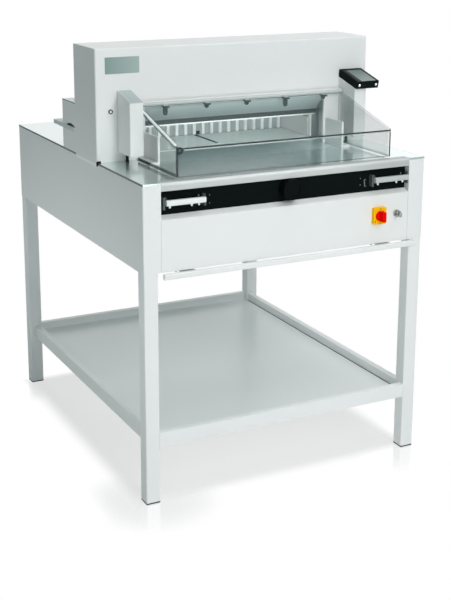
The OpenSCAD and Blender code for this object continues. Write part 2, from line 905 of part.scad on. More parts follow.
module housing_outline(r, y0, y1, z0, z1) {
  translate([y0 + r, z0]) square([y1 - y0 - r, z1 - z0]);
  translate([y0, z0]) square([r + cut, z1 - z0 - r]);
  translate([y0 + r, z1 - r]) circle(r);
}

// The housing's block, drawn in by a wall and open below and behind where it has one
module housing_block(wall) {
  open = wall > 0 ? cut : 0;
  low = table_h - housing_lap - open;
  rear = housing_rear_y + open;
  r = housing_r - wall;
  deep = rear - housing_y - wall + 2 * housing_r;
  intersection() {
    along_x(2 * (housing_half - wall)) housing_outline(r, housing_y + wall, rear, low, housing_top - wall);
    translate([0, housing_y + wall + deep / 2, low]) linear_extrude(housing_top - low)
      rounded(2 * (housing_half - wall), deep, r);
  }
}

module housing_cover() {
  low = table_h - housing_lap;
  front = housing_y + 2 * sheet;
  color("whitesmoke") placed() difference() {
    housing_block(0);
    housing_block(sheet);
    slab([-half_w, housing_y - cut, low - cut], [half_w, housing_y + housing_r + cut, table_h]);
    slab([-throat_half, housing_y - cut, table_h - cut], [throat_half, front, table_h + throat_h]);
    both_sides() translate([housing_half - lock_side, 0, table_h + lock_z])
      bar_y(lock_d - 4, housing_y - cut, housing_y + 2 * sheet);
  }
}

// The rear opening leaves room for the rear lays
module housing_rear() {
  wide = frame_in + lay_t + panel_gap;
  color("whitesmoke") placed() difference() {
    slab([-half_w, housing_rear_y - sheet, table_h], [half_w, housing_rear_y, housing_top - sheet]);
    slab([-wide, housing_rear_y - 2 * sheet, table_h - cut],
      [wide, housing_rear_y + cut, table_h + rear_throat_h]);
  }
}

module knife_shield() {
  y0 = housing_y + sheet;
  y1 = knife_y0 - 2;
  z1 = table_h + shield_z;
  z0 = z1 + (y1 - y0) * tan(shield_slope);
  drop = sheet / cos(shield_slope);
  color("lightgray") placed() along_x(2 * throat_half) polygon([
    [y0, z0 - drop], [y1, z1 - drop], [y1, z1], [y0 + sheet, z0 - sheet * tan(shield_slope)],
    [y0 + sheet, z0 + 16 * sheet], [y0, z0 + 16 * sheet]
  ]);
}

module name_plate() {
  x0 = -housing_half + plate_side;
  z1 = housing_top - plate_top;
  color("silver") placed() slab([x0, housing_y - plate_t, z1 - plate_h], [x0 + plate_w, housing_y, z1]);
}

module cover_locks() {
  x = housing_half - lock_side;
  color("silver") placed() both_sides() translate([x, 0, table_h + lock_z]) difference() {
    union() {
      bar_y(lock_d, housing_y - lock_out, housing_y);
      bar_y(lock_d - 4 - 2 * hole_gap, housing_y - lock_out, housing_y + 4 * sheet);
    }
    bar_y(lock_d / 2, housing_y - lock_out - cut, housing_y - cut);
  }
}

// The arms, the cover and the control box share one offset from the centre plane
module on_arms() {
  placed() translate([arm_shift, 0, 0]) children();
}

module arm_outline(wall) {
  y0 = arm_y + wall;
  y1 = housing_y + (wall > 0 ? cut : 0);
  rise = wall / cos(control_tilt);
  polygon([[y0, arm_low + wall], [y1, arm_low + wall], [y1, arm_top(y1) - rise], [y0, arm_top(y0) - rise]]);
}

module arm_shell() {
  difference() {
    intersection() {
      translate([arm_in + arm_w / 2, 0, 0]) along_x(arm_w) arm_outline(0);
      translate([arm_in + arm_w / 2, arm_y + arm_d, 0])
        linear_extrude(housing_top) rounded(arm_w, 2 * arm_d, fold_r);
    }
    translate([arm_in + arm_w / 2, 0, 0]) along_x(arm_w - 2 * sheet) arm_outline(sheet);
    translate([0, hinge_y, axis_z]) bar_x(pin_d, arm_in - cut, arm_in + pin_seat);
  }
  translate([0, hinge_y, axis_z]) difference() {
    bar_x(2 * pin_d, arm_in + sheet, arm_in + pin_seat);
    bar_x(pin_d, arm_in, arm_in + pin_seat + cut);
  }
}

module arm_left() {
  color("whitesmoke") on_arms() mirror([1, 0, 0]) arm_shell();
}

module arm_right() {
  color("whitesmoke") on_arms() arm_shell();
}

// Rear guard and shelf

module rear_guard() {
  y0 = housing_rear_y;
  y1 = y0 + guard_d;
  top = table_h + guard_h;
  deck = table_h + deck_z;
  arch = (guard_cut_w * guard_cut_w / 4 + guard_cut_h * guard_cut_h) / (2 * guard_cut_h);
  color("gainsboro") placed() difference() {
    union() {
      both_sides() slab([inner_w, y0, table_h], [half_w, y1, top]);
      slab([-half_w, y0, top - sheet], [half_w, y1, top]);
      slab([-half_w, y1 - sheet, deck], [half_w, y1, top]);
    }
    slab([-half_w - cut, y0 + deck_gap, deck - sheet], [half_w + cut, y1 + cut, deck]);
    intersection() {
      translate([0, y0 + guard_cut_y, deck + guard_cut_h - arch])
        bar_x(2 * arch, -half_w - cut, half_w + cut);
      slab([-half_w - cut, y0, deck], [half_w + cut, y1, top]);
    }
  }
}

module rear_shelf() {
  y0 = housing_rear_y + deck_gap;
  y1 = y0 + deck_d;
  deck = table_h + deck_z;
  color("lightgray") placed() {
    slab([-housing_half, y0, deck - sheet], [housing_half, y1, deck]);
    both_sides() slab([half_w, y0, deck - deck_lip], [housing_half, y1, deck]);
    slab([-housing_half, y1 - sheet, deck - deck_lip], [housing_half, y1, deck]);
  }
}

module side_lays() {
  x0 = throat_half + lay_side;
  y1 = housing_y - 2;
  y2 = frame_y1 + sheet;
  color("white") {
    on_arms() both_sides() {
      slab([x0, y1 - lay_l, table_h], [x0 + lay_t, y1, table_h + lay_h]);
      slab([x0, y1 - lay_l, table_h], [x0 + lay_t + lay_foot, y1, table_h + lay_t]);
    }
    placed() both_sides()
      slab([frame_in, y2, table_h], [frame_in + lay_t, y2 + rear_lay_l, table_h + rear_lay_h]);
  }
}

// Clear cover on its hinge

module hinge_pins() {
  color("silver") on_arms() both_sides() translate([0, hinge_y, axis_z])
    bar_x(pin_d, tube_half - pin_in, arm_in + pin_seat);
}

module hinge_tube() {
  color("whitesmoke") on_arms() translate([0, hinge_y, axis_z]) difference() {
    bar_x(tube_d, -tube_half, tube_half);
    bar_x(pin_d + 2 * run_gap, -tube_half - cut, tube_half + cut);
  }
}

// Height of the clear sheet's upper face at a distance behind its front
function hood_top(y) = hood_corner_z + (y - hood_front) * tan(hood_slope);

// Side outline of the cover, drawn in by a wall and open below and behind where it has one
module hood_outline(wall) {
  r = hood_r - wall;
  front = hood_front + wall;
  low = wall > 0 ? hood_low - cut : hood_low;
  end = wall > 0 ? hood_end + cut : hood_end;
  sink = wall / cos(hood_slope);
  bend_y = front + r;
  bend_z = hood_top(bend_y) - sink - r / cos(hood_slope);
  turn = (90 - hood_slope) / bend_steps;
  bend = [for (i = [0 : bend_steps]) [bend_y - r * cos(i * turn), bend_z + r * sin(i * turn)]];
  polygon(concat([[front, low]], bend, [[end, hood_top(end) - sink], [end, low]]));
}

module safety_cover() {
  color([0.75, 0.85, 0.85, 0.4]) on_arms() difference() {
    along_x(hood_w) hood_outline(0);
    along_x(hood_w - 2 * hood_t) hood_outline(hood_t);
  }
}

// A clip holds the clear sheet from below and grips the underside of the hinge tube
module clip_profile() {
  y0 = hood_end - clip_l;
  y1 = hinge_y - tube_d / 4;
  sink = hood_t / cos(hood_slope) + seat_gap;
  thick = clip_t / cos(hood_slope);
  difference() {
    union() {
      polygon([
        [y0, hood_top(y0) - sink], [hood_end, hood_top(hood_end) - sink], [y1, hood_top(hood_end) - sink],
        [y1, hood_top(hood_end) - sink - 2 * thick], [hood_end, hood_top(hood_end) - sink - 2 * thick],
        [y0, hood_top(y0) - sink - thick]
      ]);
      intersection() {
        translate([hinge_y, axis_z]) circle(d = tube_d + 2 * clip_t);
        translate([hood_end + hood_tube_gap / 2, axis_z - tube_d]) square([2 * tube_d, tube_d]);
      }
    }
    translate([hinge_y, axis_z]) circle(d = tube_d + 2 * seat_gap);
  }
}

// Round-ended tongue below a clip
module clip_tongue(long) {
  y1 = hinge_y - tube_d / 4;
  high = axis_z - tube_d / 2;
  centre = high - long + clip_w / 2;
  slab([-clip_w / 2, y1 - clip_t, centre], [clip_w / 2, y1, high]);
  translate([0, 0, centre]) bar_y(clip_w, y1 - clip_t, y1);
}

module cover_clips() {
  color("gray") on_arms() for (i = [0 : clip_count - 1])
    translate([clip_shift + (i - (clip_count - 1) / 2) * clip_pitch, 0, 0]) {
      along_x(clip_w) clip_profile();
      clip_tongue(i % 3 == 0 ? clip_tab : clip_drop);
    }
}

// Control box on the right arm

module on_control() {
  translate([arm_in, control_y, control_top]) rotate([control_tilt, 0, 0]) children();
}

module control_box() {
  margin = screen_margin;
  color([0.07, 0.08, 0.08]) on_arms() difference() {
    on_control() translate([0, 0, -control_t]) cube([control_w, control_l, control_t]);
    on_control() translate([margin, margin / 2, -screen_t])
      cube([control_w - 2 * margin, control_l - 2 * margin, screen_t + cut]);
    on_control() for (x = [button_side, control_w - button_side]) translate([x, 0, -control_t / 2])
      bar_y(button_d + 2 * run_gap, -cut, button_bore);
    slab([0, housing_y, table_h], [half_w, housing_rear_y, housing_top]);
  }
}

module control_screen() {
  margin = screen_margin;
  color("slategray") on_arms() on_control() translate([margin, margin / 2, -screen_t])
    cube([control_w - 2 * margin, control_l - 2 * margin, screen_t]);
}

module control_button(x) {
  on_control() translate([x, 0, -control_t / 2]) {
    bar_y(button_d, -button_out + button_d / 4, button_bore / 2);
    translate([0, -button_out + button_d / 4, 0]) rotate([-90, 0, 0]) intersection() {
      scale(0.5) cylinder(d = 2 * button_d, h = button_d, center = true);
      translate([0, 0, button_d * 0.375]) sphere(d = button_d * 1.25);
    }
  }
}

module control_button_left() {
  color("silver") on_arms() control_button(button_side);
}

module control_button_right() {
  color("silver") on_arms() control_button(control_w - button_side);
}

// Knife

module screw_places() {
  for (i = [0 : bolt_count - 1])
    translate([(i - (bolt_count - 1) / 2) * bolt_pitch, 0, blade_edge + bolt_z]) children();
}

module screw_shank_holes() {
  screw_places() bar_y(bolt_d + 2 * hole_gap, knife_y0 - cut, cut_y + cut);
}

module knife_beam() {
  color("dimgray") placed() difference() {
    slab([-beam_half, knife_y0, knife_z], [beam_half, knife_y1, knife_z + knife_h]);
    screw_shank_holes();
    screw_places() bar_y(bolt_head_d + 2 * hole_gap, knife_y0 - cut, knife_y0 + bolt_head_h + 1);
  }
}

module blade() {
  color("silver") placed() difference() {
    along_x(blade_l) polygon([
      [knife_y1, blade_edge + bevel_h], [cut_y, blade_edge], [cut_y, blade_edge + blade_h],
      [knife_y1, blade_edge + blade_h]
    ]);
    screw_shank_holes();
  }
}

module blade_screws() {
  seat = knife_y0 + bolt_head_h + 1;
  color("black") placed() screw_places() difference() {
    union() {
      bar_y(bolt_head_d, seat - bolt_head_h, seat);
      bar_y(bolt_d, seat - cut, cut_y);
    }
    translate([0, seat - bolt_head_h - cut, 0]) rotate([-90, 0, 0])
      cylinder(d = bolt_d, h = bolt_head_h / 2 + cut, $fn = 6);
  }
}

module pull_rods() {
  slot_half = yoke_half - slot_wall;
  slot_half_h = yoke_half_h - slot_wall;
  color("gray") placed() both_sides() difference() {
    union() {
      slab([rod_in, rod_y - rod_w / 2, yoke_z], [rod_in + rod_t, rod_y + rod_w / 2, knife_z]);
      translate([rod_in + rod_t / 2, rod_y, yoke_z]) along_x(rod_t)
        rounded(2 * yoke_half, 2 * yoke_half_h, slot_wall);
    }
    translate([rod_in + rod_t / 2, rod_y, yoke_z]) along_x(2 * rod_t)
      rounded(2 * slot_half, 2 * slot_half_h, slot_wall / 2);
  }
}

// Clamp

module clamp_beam() {
  low = pan_top + cylinder_h - clamp_rod_in;
  color("gray") placed() {
    difference() {
      slab([-beam_half, clamp_y0, clamp_z], [beam_half, clamp_y1, clamp_z + clamp_h]);
      for (i = [0 : finger_count - 1])
        translate([(i - (finger_count - 1) / 2) * finger_pitch, clamp_y1, clamp_z])
          cube([comb_w, 2 * comb_d, 2 * comb_h], center = true);
    }
    both_sides() translate([clamp_rod_x, clamp_rod_y, low])
      cylinder(d = clamp_rod_d, h = clamp_z - low + cut);
  }
}

module clamp_cylinders() {
  floor_t = 10;
  color("dimgray") placed() both_sides() translate([clamp_rod_x, clamp_rod_y, pan_top]) difference() {
    cylinder(d = cylinder_d, h = cylinder_h);
    translate([0, 0, floor_t]) cylinder(d = clamp_rod_d + 2 * run_gap, h = cylinder_h);
  }
}

// Crank drive

module crankshaft() {
  color("silver") placed() translate([0, rod_y, shaft_z]) {
    bar_x(shaft_d, -disc_out, disc_out);
    both_sides() {
      bar_x(2 * disc_r, disc_out - disc_t, disc_out);
      translate([0, 0, crank_r]) bar_x(crank_pin_d, disc_out - cut, rod_in + rod_t + 2);
    }
  }
}

module crank_bearings() {
  color("slategray") placed() both_sides() difference() {
    union() {
      slab([bearing_x, rod_y - bearing_w / 2, pan_top],
        [bearing_x + bearing_t, rod_y + bearing_w / 2, shaft_z]);
      translate([0, rod_y, shaft_z]) bar_x(bearing_w, bearing_x, bearing_x + bearing_t);
    }
    translate([0, rod_y, shaft_z]) bar_x(shaft_d + 2 * run_gap, bearing_x - cut, bearing_x + bearing_t + cut);
  }
}

module gear_casing() {
  x0 = -gear_x - gear_w / 2;
  x1 = x0 + gear_w;
  color("slategray") placed() difference() {
    slab([x0, rod_y - gear_d / 2, pan_top], [x1, rod_y + gear_d / 2, pan_top + gear_h]);
    translate([0, rod_y, shaft_z]) bar_x(shaft_d + 2 * run_gap, x0 - cut, x1 + cut);
  }
}

module drive_motor() {
  y0 = rod_y + gear_d / 2;
  groove = motor_l / 24;
  color("dimgray") placed() translate([-gear_x, y0, pan_top + gear_h / 2]) rotate([-90, 0, 0]) difference() {
    cylinder(d = motor_d, h = motor_l);
    for (i = [3 : 2 : 17]) translate([0, 0, i * groove]) difference() {
      cylinder(d = motor_d + 2, h = groove);
      cylinder(d = motor_d - 2 * motor_rib, h = groove);
    }
  }
}

// Backgauge

module backgauge() {
  low = table_h + gauge_gap;
  high = low + gauge_h;
  plate_y = gauge_y + finger_d;
  column = slot_w / 2 - carrier_gap;
  color("whitesmoke") placed() difference() {
    union() {
      slab([-gauge_w / 2, plate_y, low], [gauge_w / 2, carrier_y, high]);
      for (i = [0 : finger_count - 1]) translate([(i - (finger_count - 1) / 2) * finger_pitch, 0, 0])
        slab([-finger_w / 2, gauge_y, low], [finger_w / 2, carrier_y, high]);
      slab([-column, carrier_y - cut, low], [column, carrier_y + carrier_l, high - gauge_h / 3]);
      slab([-column, carrier_y, carrier_low], [column, carrier_y + carrier_l, low + cut]);
      slab([-column, carrier_y, carrier_low], [column, nut_y1, carrier_low + carrier_t]);
      slab([-nut_w / 2, nut_y0, spindle_z - nut_w / 2], [nut_w / 2, nut_y1, carrier_low + carrier_t]);
    }
    translate([0, 0, spindle_z]) bar_y(spindle_d + 2 * run_gap, nut_y0 - cut, nut_y1 + cut);
  }
}

module spindle() {
  color("silver") placed() translate([0, 0, spindle_z])
    bar_y(spindle_d, spindle_y0 + 1, spindle_y1 + spindle_bearing_t - 0.5);
}

module spindle_bearings() {
  half = nut_w / 2 + 2;
  color("slategray") placed() difference() {
    union() {
      slab([-half, spindle_y0, spindle_z - half],
        [half, spindle_y0 + spindle_bearing_t, spindle_z + half + 4]);
      slab([-half, spindle_y1, spindle_z - half], [half, spindle_y1 + spindle_bearing_t, plate_z]);
    }
    translate([0, 0, spindle_z])
      bar_y(spindle_d + 2 * run_gap, spindle_y0 - cut, spindle_y1 + spindle_bearing_t + cut);
  }
}

module gauge_motor() {
  y0 = spindle_y1 + spindle_bearing_t;
  color("dimgray") placed() translate([0, 0, spindle_z]) bar_y(gauge_motor_d, y0, y0 + gauge_motor_l);
}

// Operating strip

module handwheel() {
  rear = strip_y - wheel_gap;
  front = rear - wheel_t;
  r = wheel_d / 2;
  rim = wheel_d / 10;
  color([0.09, 0.1, 0.1]) placed() translate([0, 0, wheel_z]) difference() {
    union() {
      bar_y(wheel_d, front, rear);
      bar_y(wheel_shaft_d, rear - cut, strip_y + sheet + wheel_shaft_l);
    }
    bar_y(wheel_d - 2 * rim, front - cut, front + wheel_dish);
    for (i = [0 : wheel_flutes - 1]) rotate([0, i * 360 / wheel_flutes, 0]) translate([r + 0.5, 0, 0])
      bar_y(3, front - cut, rear - wheel_t / 4);
  }
}

// One lever lies between its two brackets and turns on trunnions at its ears
module start_lever(x0) {
  x1 = x0 + lever_l;
  front = -lever_out;
  color("white") placed() {
    translate([x0 + lever_l / 2, front + lever_t / 2, lever_low + lever_h / 2])
      along_x(lever_l) rounded(lever_t, lever_h, 4);
    for (x = [x0, x1 - ear_t]) {
      translate([0, trunnion_y, trunnion_h]) bar_x(2 * trunnion_d, x, x + ear_t);
      slab([x, front + lever_t / 2, trunnion_h - 2 * trunnion_d],
        [x + ear_t, trunnion_y + trunnion_d, trunnion_h]);
    }
    translate([0, trunnion_y, trunnion_h]) {
      bar_x(trunnion_d, x0 - lever_gap - bracket_t + 1, x0 + cut);
      bar_x(trunnion_d, x1 - cut, x1 + lever_gap + tab_t - 0.5);
    }
  }
}

module start_lever_left() {
  start_lever(lever_left_x);
}

module start_lever_right() {
  start_lever(lever_right_x);
}

module lever_bracket(x, thick) {
  difference() {
    slab([x, trunnion_y - bracket_out, bracket_z], [x + thick, strip_y, bracket_z + bracket_h]);
    translate([0, trunnion_y, trunnion_h]) bar_x(trunnion_d + 2 * run_gap, x - cut, x + thick + cut);
  }
}

module lever_brackets() {
  color("gray") placed() for (x0 = [lever_left_x, lever_right_x]) {
    lever_bracket(x0 - lever_gap - bracket_t, bracket_t);
    lever_bracket(x0 + lever_l + lever_gap, tab_t);
  }
}

// Main switch and key lock

module switch_plate() {
  color("gold") placed() translate([switch_x, 0, switch_z]) difference() {
    rotate([90, 0, 0]) linear_extrude(switch_t) rounded(switch_w, switch_h, switch_r);
    bar_y(knob_shaft_d + 2 * run_gap, -switch_t - cut, cut);
  }
}

module switch_knob() {
  face = -switch_t - knob_gap;
  skirt = face - knob_skirt;
  color("red") placed() translate([switch_x, 0, switch_z]) {
    bar_y(knob_d, skirt, face);
    bar_y(knob_shaft_d, face - cut, -sheet);
    intersection() {
      bar_y(knob_d, skirt - knob_grip, skirt + cut);
      slab([-knob_grip_t / 2, skirt - knob_grip, -knob_d], [knob_grip_t / 2, skirt + cut, knob_d]);
    }
  }
}

module key_lock() {
  color("silver") placed() translate([lock_x, 0, switch_z]) difference() {
    union() {
      bar_y(key_flange_d, -key_flange_t, 0);
      bar_y(key_barrel_d, -cut, key_barrel_l);
    }
    bar_y(key_shank_d + 2 * run_gap, -key_flange_t - cut, key_in);
  }
}

// The key has a round shank in the lock and a flat round bow with a hole
module key() {
  bow_y = -key_flange_t - key_gap - key_bow_d / 2;
  hole_y = bow_y - key_bow_d / 5;
  color("silver") placed() translate([lock_x, 0, switch_z]) difference() {
    union() {
      bar_y(key_shank_d, -key_flange_t - key_gap - cut, key_in - cut);
      translate([0, bow_y, 0]) bar_x(key_bow_d, -key_bow_t / 2, key_bow_t / 2);
    }
    translate([0, hole_y, 0]) bar_x(key_bow_d / 4, -key_bow_t, key_bow_t);
  }
}

// Knee bar under the front panel

module knee_bar() {
  neck_y = knee_pivot_y - eye_d - cut;
  color("whitesmoke") placed() difference() {
    union() {
      translate([knee_shift, knee_y + knee_t / 2, knee_z + knee_h / 2])
        along_x(knee_l) rounded(knee_t, knee_h, 3);
      both_sides() translate([hanger_x, 0, 0]) {
        translate([0, 0, hanger_z]) linear_extrude(hanger_t) polygon([
          [-hanger_w / 2, knee_y + knee_t / 4], [hanger_w / 2, knee_y + knee_t / 4],
          [hanger_w / 2, knee_y + knee_t], [hanger_eye_w / 2, neck_y], [hanger_eye_w / 2, knee_pivot_y],
          [-hanger_eye_w / 2, knee_pivot_y], [-hanger_eye_w / 2, neck_y], [-hanger_w / 2, knee_y + knee_t]
        ]);
        translate([0, knee_pivot_y, knee_axis_z]) bar_x(eye_d, -hanger_eye_w / 2, hanger_eye_w / 2);
      }
    }
    translate([knee_shift, knee_y + knee_t / 2, knee_z + knee_h / 2])
      cube([knee_l - 2 * knee_wall, knee_t - 2 * knee_wall, knee_h - 2 * knee_wall], center = true);
    translate([0, knee_pivot_y, knee_axis_z]) bar_x(knee_pin_d + 2 * run_gap, -half_w, half_w);
  }
}

module knee_brackets() {
  inner = hanger_eye_w / 2 + lug_gap;
  outer = inner + lug_t;
  low = knee_axis_z - eye_d / 2;
  color("gray") placed() both_sides() translate([hanger_x, knee_pivot_y, 0]) {
    translate([0, 0, knee_axis_z]) bar_x(knee_pin_d, -outer, outer);
    for (x = [-outer, inner]) slab([x, -eye_d, low], [x + lug_t, eye_d, body_z]);
  }
}

leg_front_left();
leg_front_right();
leg_rear_left();
leg_rear_right();
foot_pads();
shelf_tray();
side_panel_left();
side_panel_right();
front_panel();
strip_panel();
rear_panel();
bottom_pan();
table_front();
table_rear();
table_nose();
cutting_stick();
bed_frame();
side_frames();
housing_cover();
housing_rear();
knife_shield();
name_plate();
cover_locks();
arm_left();
arm_right();
rear_guard();
rear_shelf();
side_lays();
hinge_pins();
hinge_tube();
cover_clips();
safety_cover();
control_box();
control_screen();
control_button_left();
control_button_right();
knife_beam();
blade();
blade_screws();
pull_rods();
clamp_beam();
clamp_cylinders();
crankshaft();
crank_bearings();
gear_casing();
drive_motor();
backgauge();
spindle();
spindle_bearings();
gauge_motor();
handwheel();
start_lever_left();
start_lever_right();
lever_brackets();
switch_plate();
switch_knob();
key_lock();
key();
knee_bar();
knee_brackets();
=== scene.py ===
"""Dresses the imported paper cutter: finishes for every solid, small fittings, and a plain studio."""

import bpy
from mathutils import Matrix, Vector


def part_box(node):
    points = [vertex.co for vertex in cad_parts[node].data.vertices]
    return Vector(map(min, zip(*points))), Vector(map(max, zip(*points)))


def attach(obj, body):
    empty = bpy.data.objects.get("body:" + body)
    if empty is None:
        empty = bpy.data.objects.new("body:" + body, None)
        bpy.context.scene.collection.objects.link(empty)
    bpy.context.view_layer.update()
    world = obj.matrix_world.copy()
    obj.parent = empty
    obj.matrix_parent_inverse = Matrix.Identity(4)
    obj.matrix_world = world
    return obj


bl_info = {
    "name": "Paper cutter dressing",
    "version": (1, 0, 0),
    "blender": (4, 5, 0),
    "location": "View3D > Sidebar > Paper cutter",
    "description": "Finishes, small fittings and a studio for a floor-standing paper cutter",
    "category": "Object",
}

import math

import bmesh
import bpy
from bpy.props import FloatProperty, FloatVectorProperty, PointerProperty
from bpy.types import Operator, Panel, PropertyGroup
from mathutils import Matrix, Vector

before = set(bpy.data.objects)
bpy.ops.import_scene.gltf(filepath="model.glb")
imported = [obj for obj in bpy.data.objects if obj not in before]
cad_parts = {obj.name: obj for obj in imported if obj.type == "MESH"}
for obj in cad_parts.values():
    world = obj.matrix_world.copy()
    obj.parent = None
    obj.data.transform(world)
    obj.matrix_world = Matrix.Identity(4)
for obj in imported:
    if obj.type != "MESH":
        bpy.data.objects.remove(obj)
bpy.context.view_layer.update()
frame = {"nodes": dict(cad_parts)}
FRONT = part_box("front_panel")[0].y
MM = 0.001

# Rounding of the dressed edges
PLATE_EDGE = 0.6 * MM
LEVER_EDGE = 0.8 * MM
SWITCH_EDGE = 1 * MM
CAST_EDGE = 1.2 * MM

# Edges sharper than these angles, in degrees, stay crisp on a fitting and are rounded on a solid
CRISP_ANGLE = 32
ROUNDED_ANGLE = 35

# Least upward share of the normal of a face that looks up
LOOKS_UP = 0.3

# Colours that several marks share; PALE is always a painted highlight, and DARK is painted shade on the
# levers
PALE = (0.95, 0.97, 0.97)
DARK = (0.05, 0.06, 0.06)

# Stretch of a noise whose lines run from left to right
LEFT_TO_RIGHT = (0.02, 1, 1)

# Each lamp's place, the point it faces, its width and height in metres, and its spread in degrees
LAMPS = {
    "key": ((0.2, -4.7, 3.2), (0, 0, 0.7), (1.2, 2.2), 180),
    "top": ((0.9, -1.1, 4.1), (0.1, 0, 0.9), (2.6, 2.6), 180),
    "fill": ((-0.1, -2.5, 0.75), (-0.1, -0.5, 0.5), (0.9, 0.5), 100),
    "throat": ((-0.2, FRONT - 0.42, 1.03), (0.12, 0.12, 0.99), (0.6, 0.06), 26),
    "work": ((0, FRONT + 0.36, 1.032), (0, FRONT + 0.56, 0.957), (0.62, 0.02), 110),
    "back": ((-0.5, 4.4, 1.5), (0, 0.4, 0.8), (1.0, 1.0), 180),
    "side": ((-2.6, -0.1, 0.36), (-0.4, -0.15, 0.57), (1.5, 0.25), 36),
}


# Settings


class CutterPaint(PropertyGroup):
    """Enamel of the stand, the body and the housing."""

    enamel: FloatVectorProperty(
        name="Enamel", description="Colour of the white enamel",
        subtype="COLOR", size=3, min=0, max=1, default=(0.82, 0.828, 0.824))
    grey: FloatVectorProperty(
        name="Grey enamel", description="Colour of the grey sheets",
        subtype="COLOR", size=3, min=0, max=1, default=(0.56, 0.645, 0.64))
    black: FloatVectorProperty(
        name="Black", description="Colour of the operating strip",
        subtype="COLOR", size=3, min=0, max=1, default=(0.006, 0.009, 0.009))
    # Painted shade: the arms' sloped tops are painted this darker grey
    arm_top_shade: FloatVectorProperty(
        name="Arm tops", description="Colour of the arms' sloped tops",
        subtype="COLOR", size=3, min=0, max=1, default=(0.47, 0.53, 0.54))
    fold: FloatProperty(
        name="Fold radius", description="Rounding of the side lays' folded edges",
        unit="LENGTH", min=0, max=4 * MM, default=0.9 * MM)


class CutterMetal(PropertyGroup):
    """Bare metal of the table and the works."""

    table: FloatVectorProperty(
        name="Table", description="Tint of the ground table",
        subtype="COLOR", size=3, min=0, max=1, default=(0.72, 0.81, 0.80))
    nose: FloatVectorProperty(
        name="Nose", description="Tint of the table's front nose",
        subtype="COLOR", size=3, min=0, max=1, default=(0.48, 0.50, 0.50))
    steel: FloatVectorProperty(
        name="Steel", description="Tint of machined steel",
        subtype="COLOR", size=3, min=0, max=1, default=(0.50, 0.53, 0.53))
    cast: FloatVectorProperty(
        name="Casting", description="Paint on the castings",
        subtype="COLOR", size=3, min=0, max=1, default=(0.10, 0.12, 0.125))
    frame: FloatVectorProperty(
        name="Side frames", description="Paint on the side frames",
        subtype="COLOR", size=3, min=0, max=1, default=(0.34, 0.38, 0.38))


class CutterPlastic(PropertyGroup):
    """Clear sheet and the switch's moulded pieces."""

    clear: FloatVectorProperty(
        name="Clear sheet", description="Tint of the clear cover",
        subtype="COLOR", size=3, min=0, max=1, default=(0.09, 0.17, 0.17))
    veil: FloatProperty(
        name="Veil", description="How much the clear cover hides, per face",
        subtype="FACTOR", min=0, max=1, default=0.11)
    yellow: FloatVectorProperty(
        name="Switch plate", description="Colour of the switch plate",
        subtype="COLOR", size=3, min=0, max=1, default=(0.99, 0.54, 0.003))
    red: FloatVectorProperty(
        name="Switch knob", description="Colour of the switch knob",
        subtype="COLOR", size=3, min=0, max=1, default=(0.90, 0.002, 0.001))


class CutterStudio(PropertyGroup):
    """Camera, light and floor."""

    place: FloatVectorProperty(
        name="Camera", description="Where the camera stands",
        subtype="TRANSLATION", size=3, default=(-1.71682, FRONT - 2.9663, 1.66295))
    yaw: FloatProperty(
        name="Yaw", description="Camera turned to the right", subtype="ANGLE", default=0.468638)
    pitch: FloatProperty(
        name="Pitch", description="Camera tipped up", subtype="ANGLE", default=-0.236872)
    roll: FloatProperty(
        name="Roll", description="Camera leaned over", subtype="ANGLE", default=0.002944)
    lens: FloatProperty(
        name="Lens", description="Focal length in millimetres", unit="CAMERA", default=72.144)
    drop: FloatProperty(
        name="Shift", description="Vertical lens shift", default=-0.15)
    ambient: FloatProperty(
        name="Ambient", description="Light from all round", min=0, default=0.165)
    key: FloatProperty(
        name="Key", description="Power of the key lamp", unit="POWER", min=0, default=88.0)
    top: FloatProperty(
        name="Top", description="Power of the top lamp", unit="POWER", min=0, default=49.0)
    fill: FloatProperty(
        name="Fill", description="Power of the low front lamp", unit="POWER", min=0, default=2.3)
    throat: FloatProperty(
        name="Throat", description="Power of the lamp at the throat", unit="POWER", min=0, default=0.15)
    work: FloatProperty(
        name="Work light", description="Power of the lamp under the knife",
        unit="POWER", min=0, default=0.21)
    back: FloatProperty(
        name="Back", description="Power of the lamp behind", unit="POWER", min=0, default=26.0)
    side: FloatProperty(
        name="Side", description="Power of the low lamp on the left", unit="POWER", min=0, default=0.7)
    floor: FloatProperty(
        name="Floor", description="Own brightness of the floor under the stand", min=0, default=0.66)
    bounce: FloatProperty(
        name="Bounce", description="Light that the floor gives back", min=0, default=0.17)


# Shader maths


class Shade:
    """One socket's value in a finish. Maths on it adds Math nodes."""

    def __init__(self, finish, socket):
        self.finish = finish
        self.socket = socket

    def math(self, operation, first, second=0.0):
        return self.finish.node("ShaderNodeMath", {"operation": operation}, {0: first, 1: second})

    def __add__(self, other):
        return self.math("ADD", self, other)

    __radd__ = __add__

    def __sub__(self, other):
        return self.math("SUBTRACT", self, other)

    def __rsub__(self, other):
        return self.math("SUBTRACT", other, self)

    def __mul__(self, other):
        return self.math("MULTIPLY", self, other)

    __rmul__ = __mul__

    def __truediv__(self, other):
        return self.math("DIVIDE", self, other)

    def __gt__(self, other):
        return self.math("GREATER_THAN", self, other)

    def __lt__(self, other):
        return self.math("LESS_THAN", self, other)

    def __abs__(self):
        return self.math("ABSOLUTE", self)

    def most(self, *others):
        """The greatest of this value and the others."""
        greatest = self
        for other in others:
            greatest = self.math("MAXIMUM", greatest, other)
        return greatest

    def between(self, low, high):
        """One between two values, nought outside them."""
        return (self > low) * (self < high)


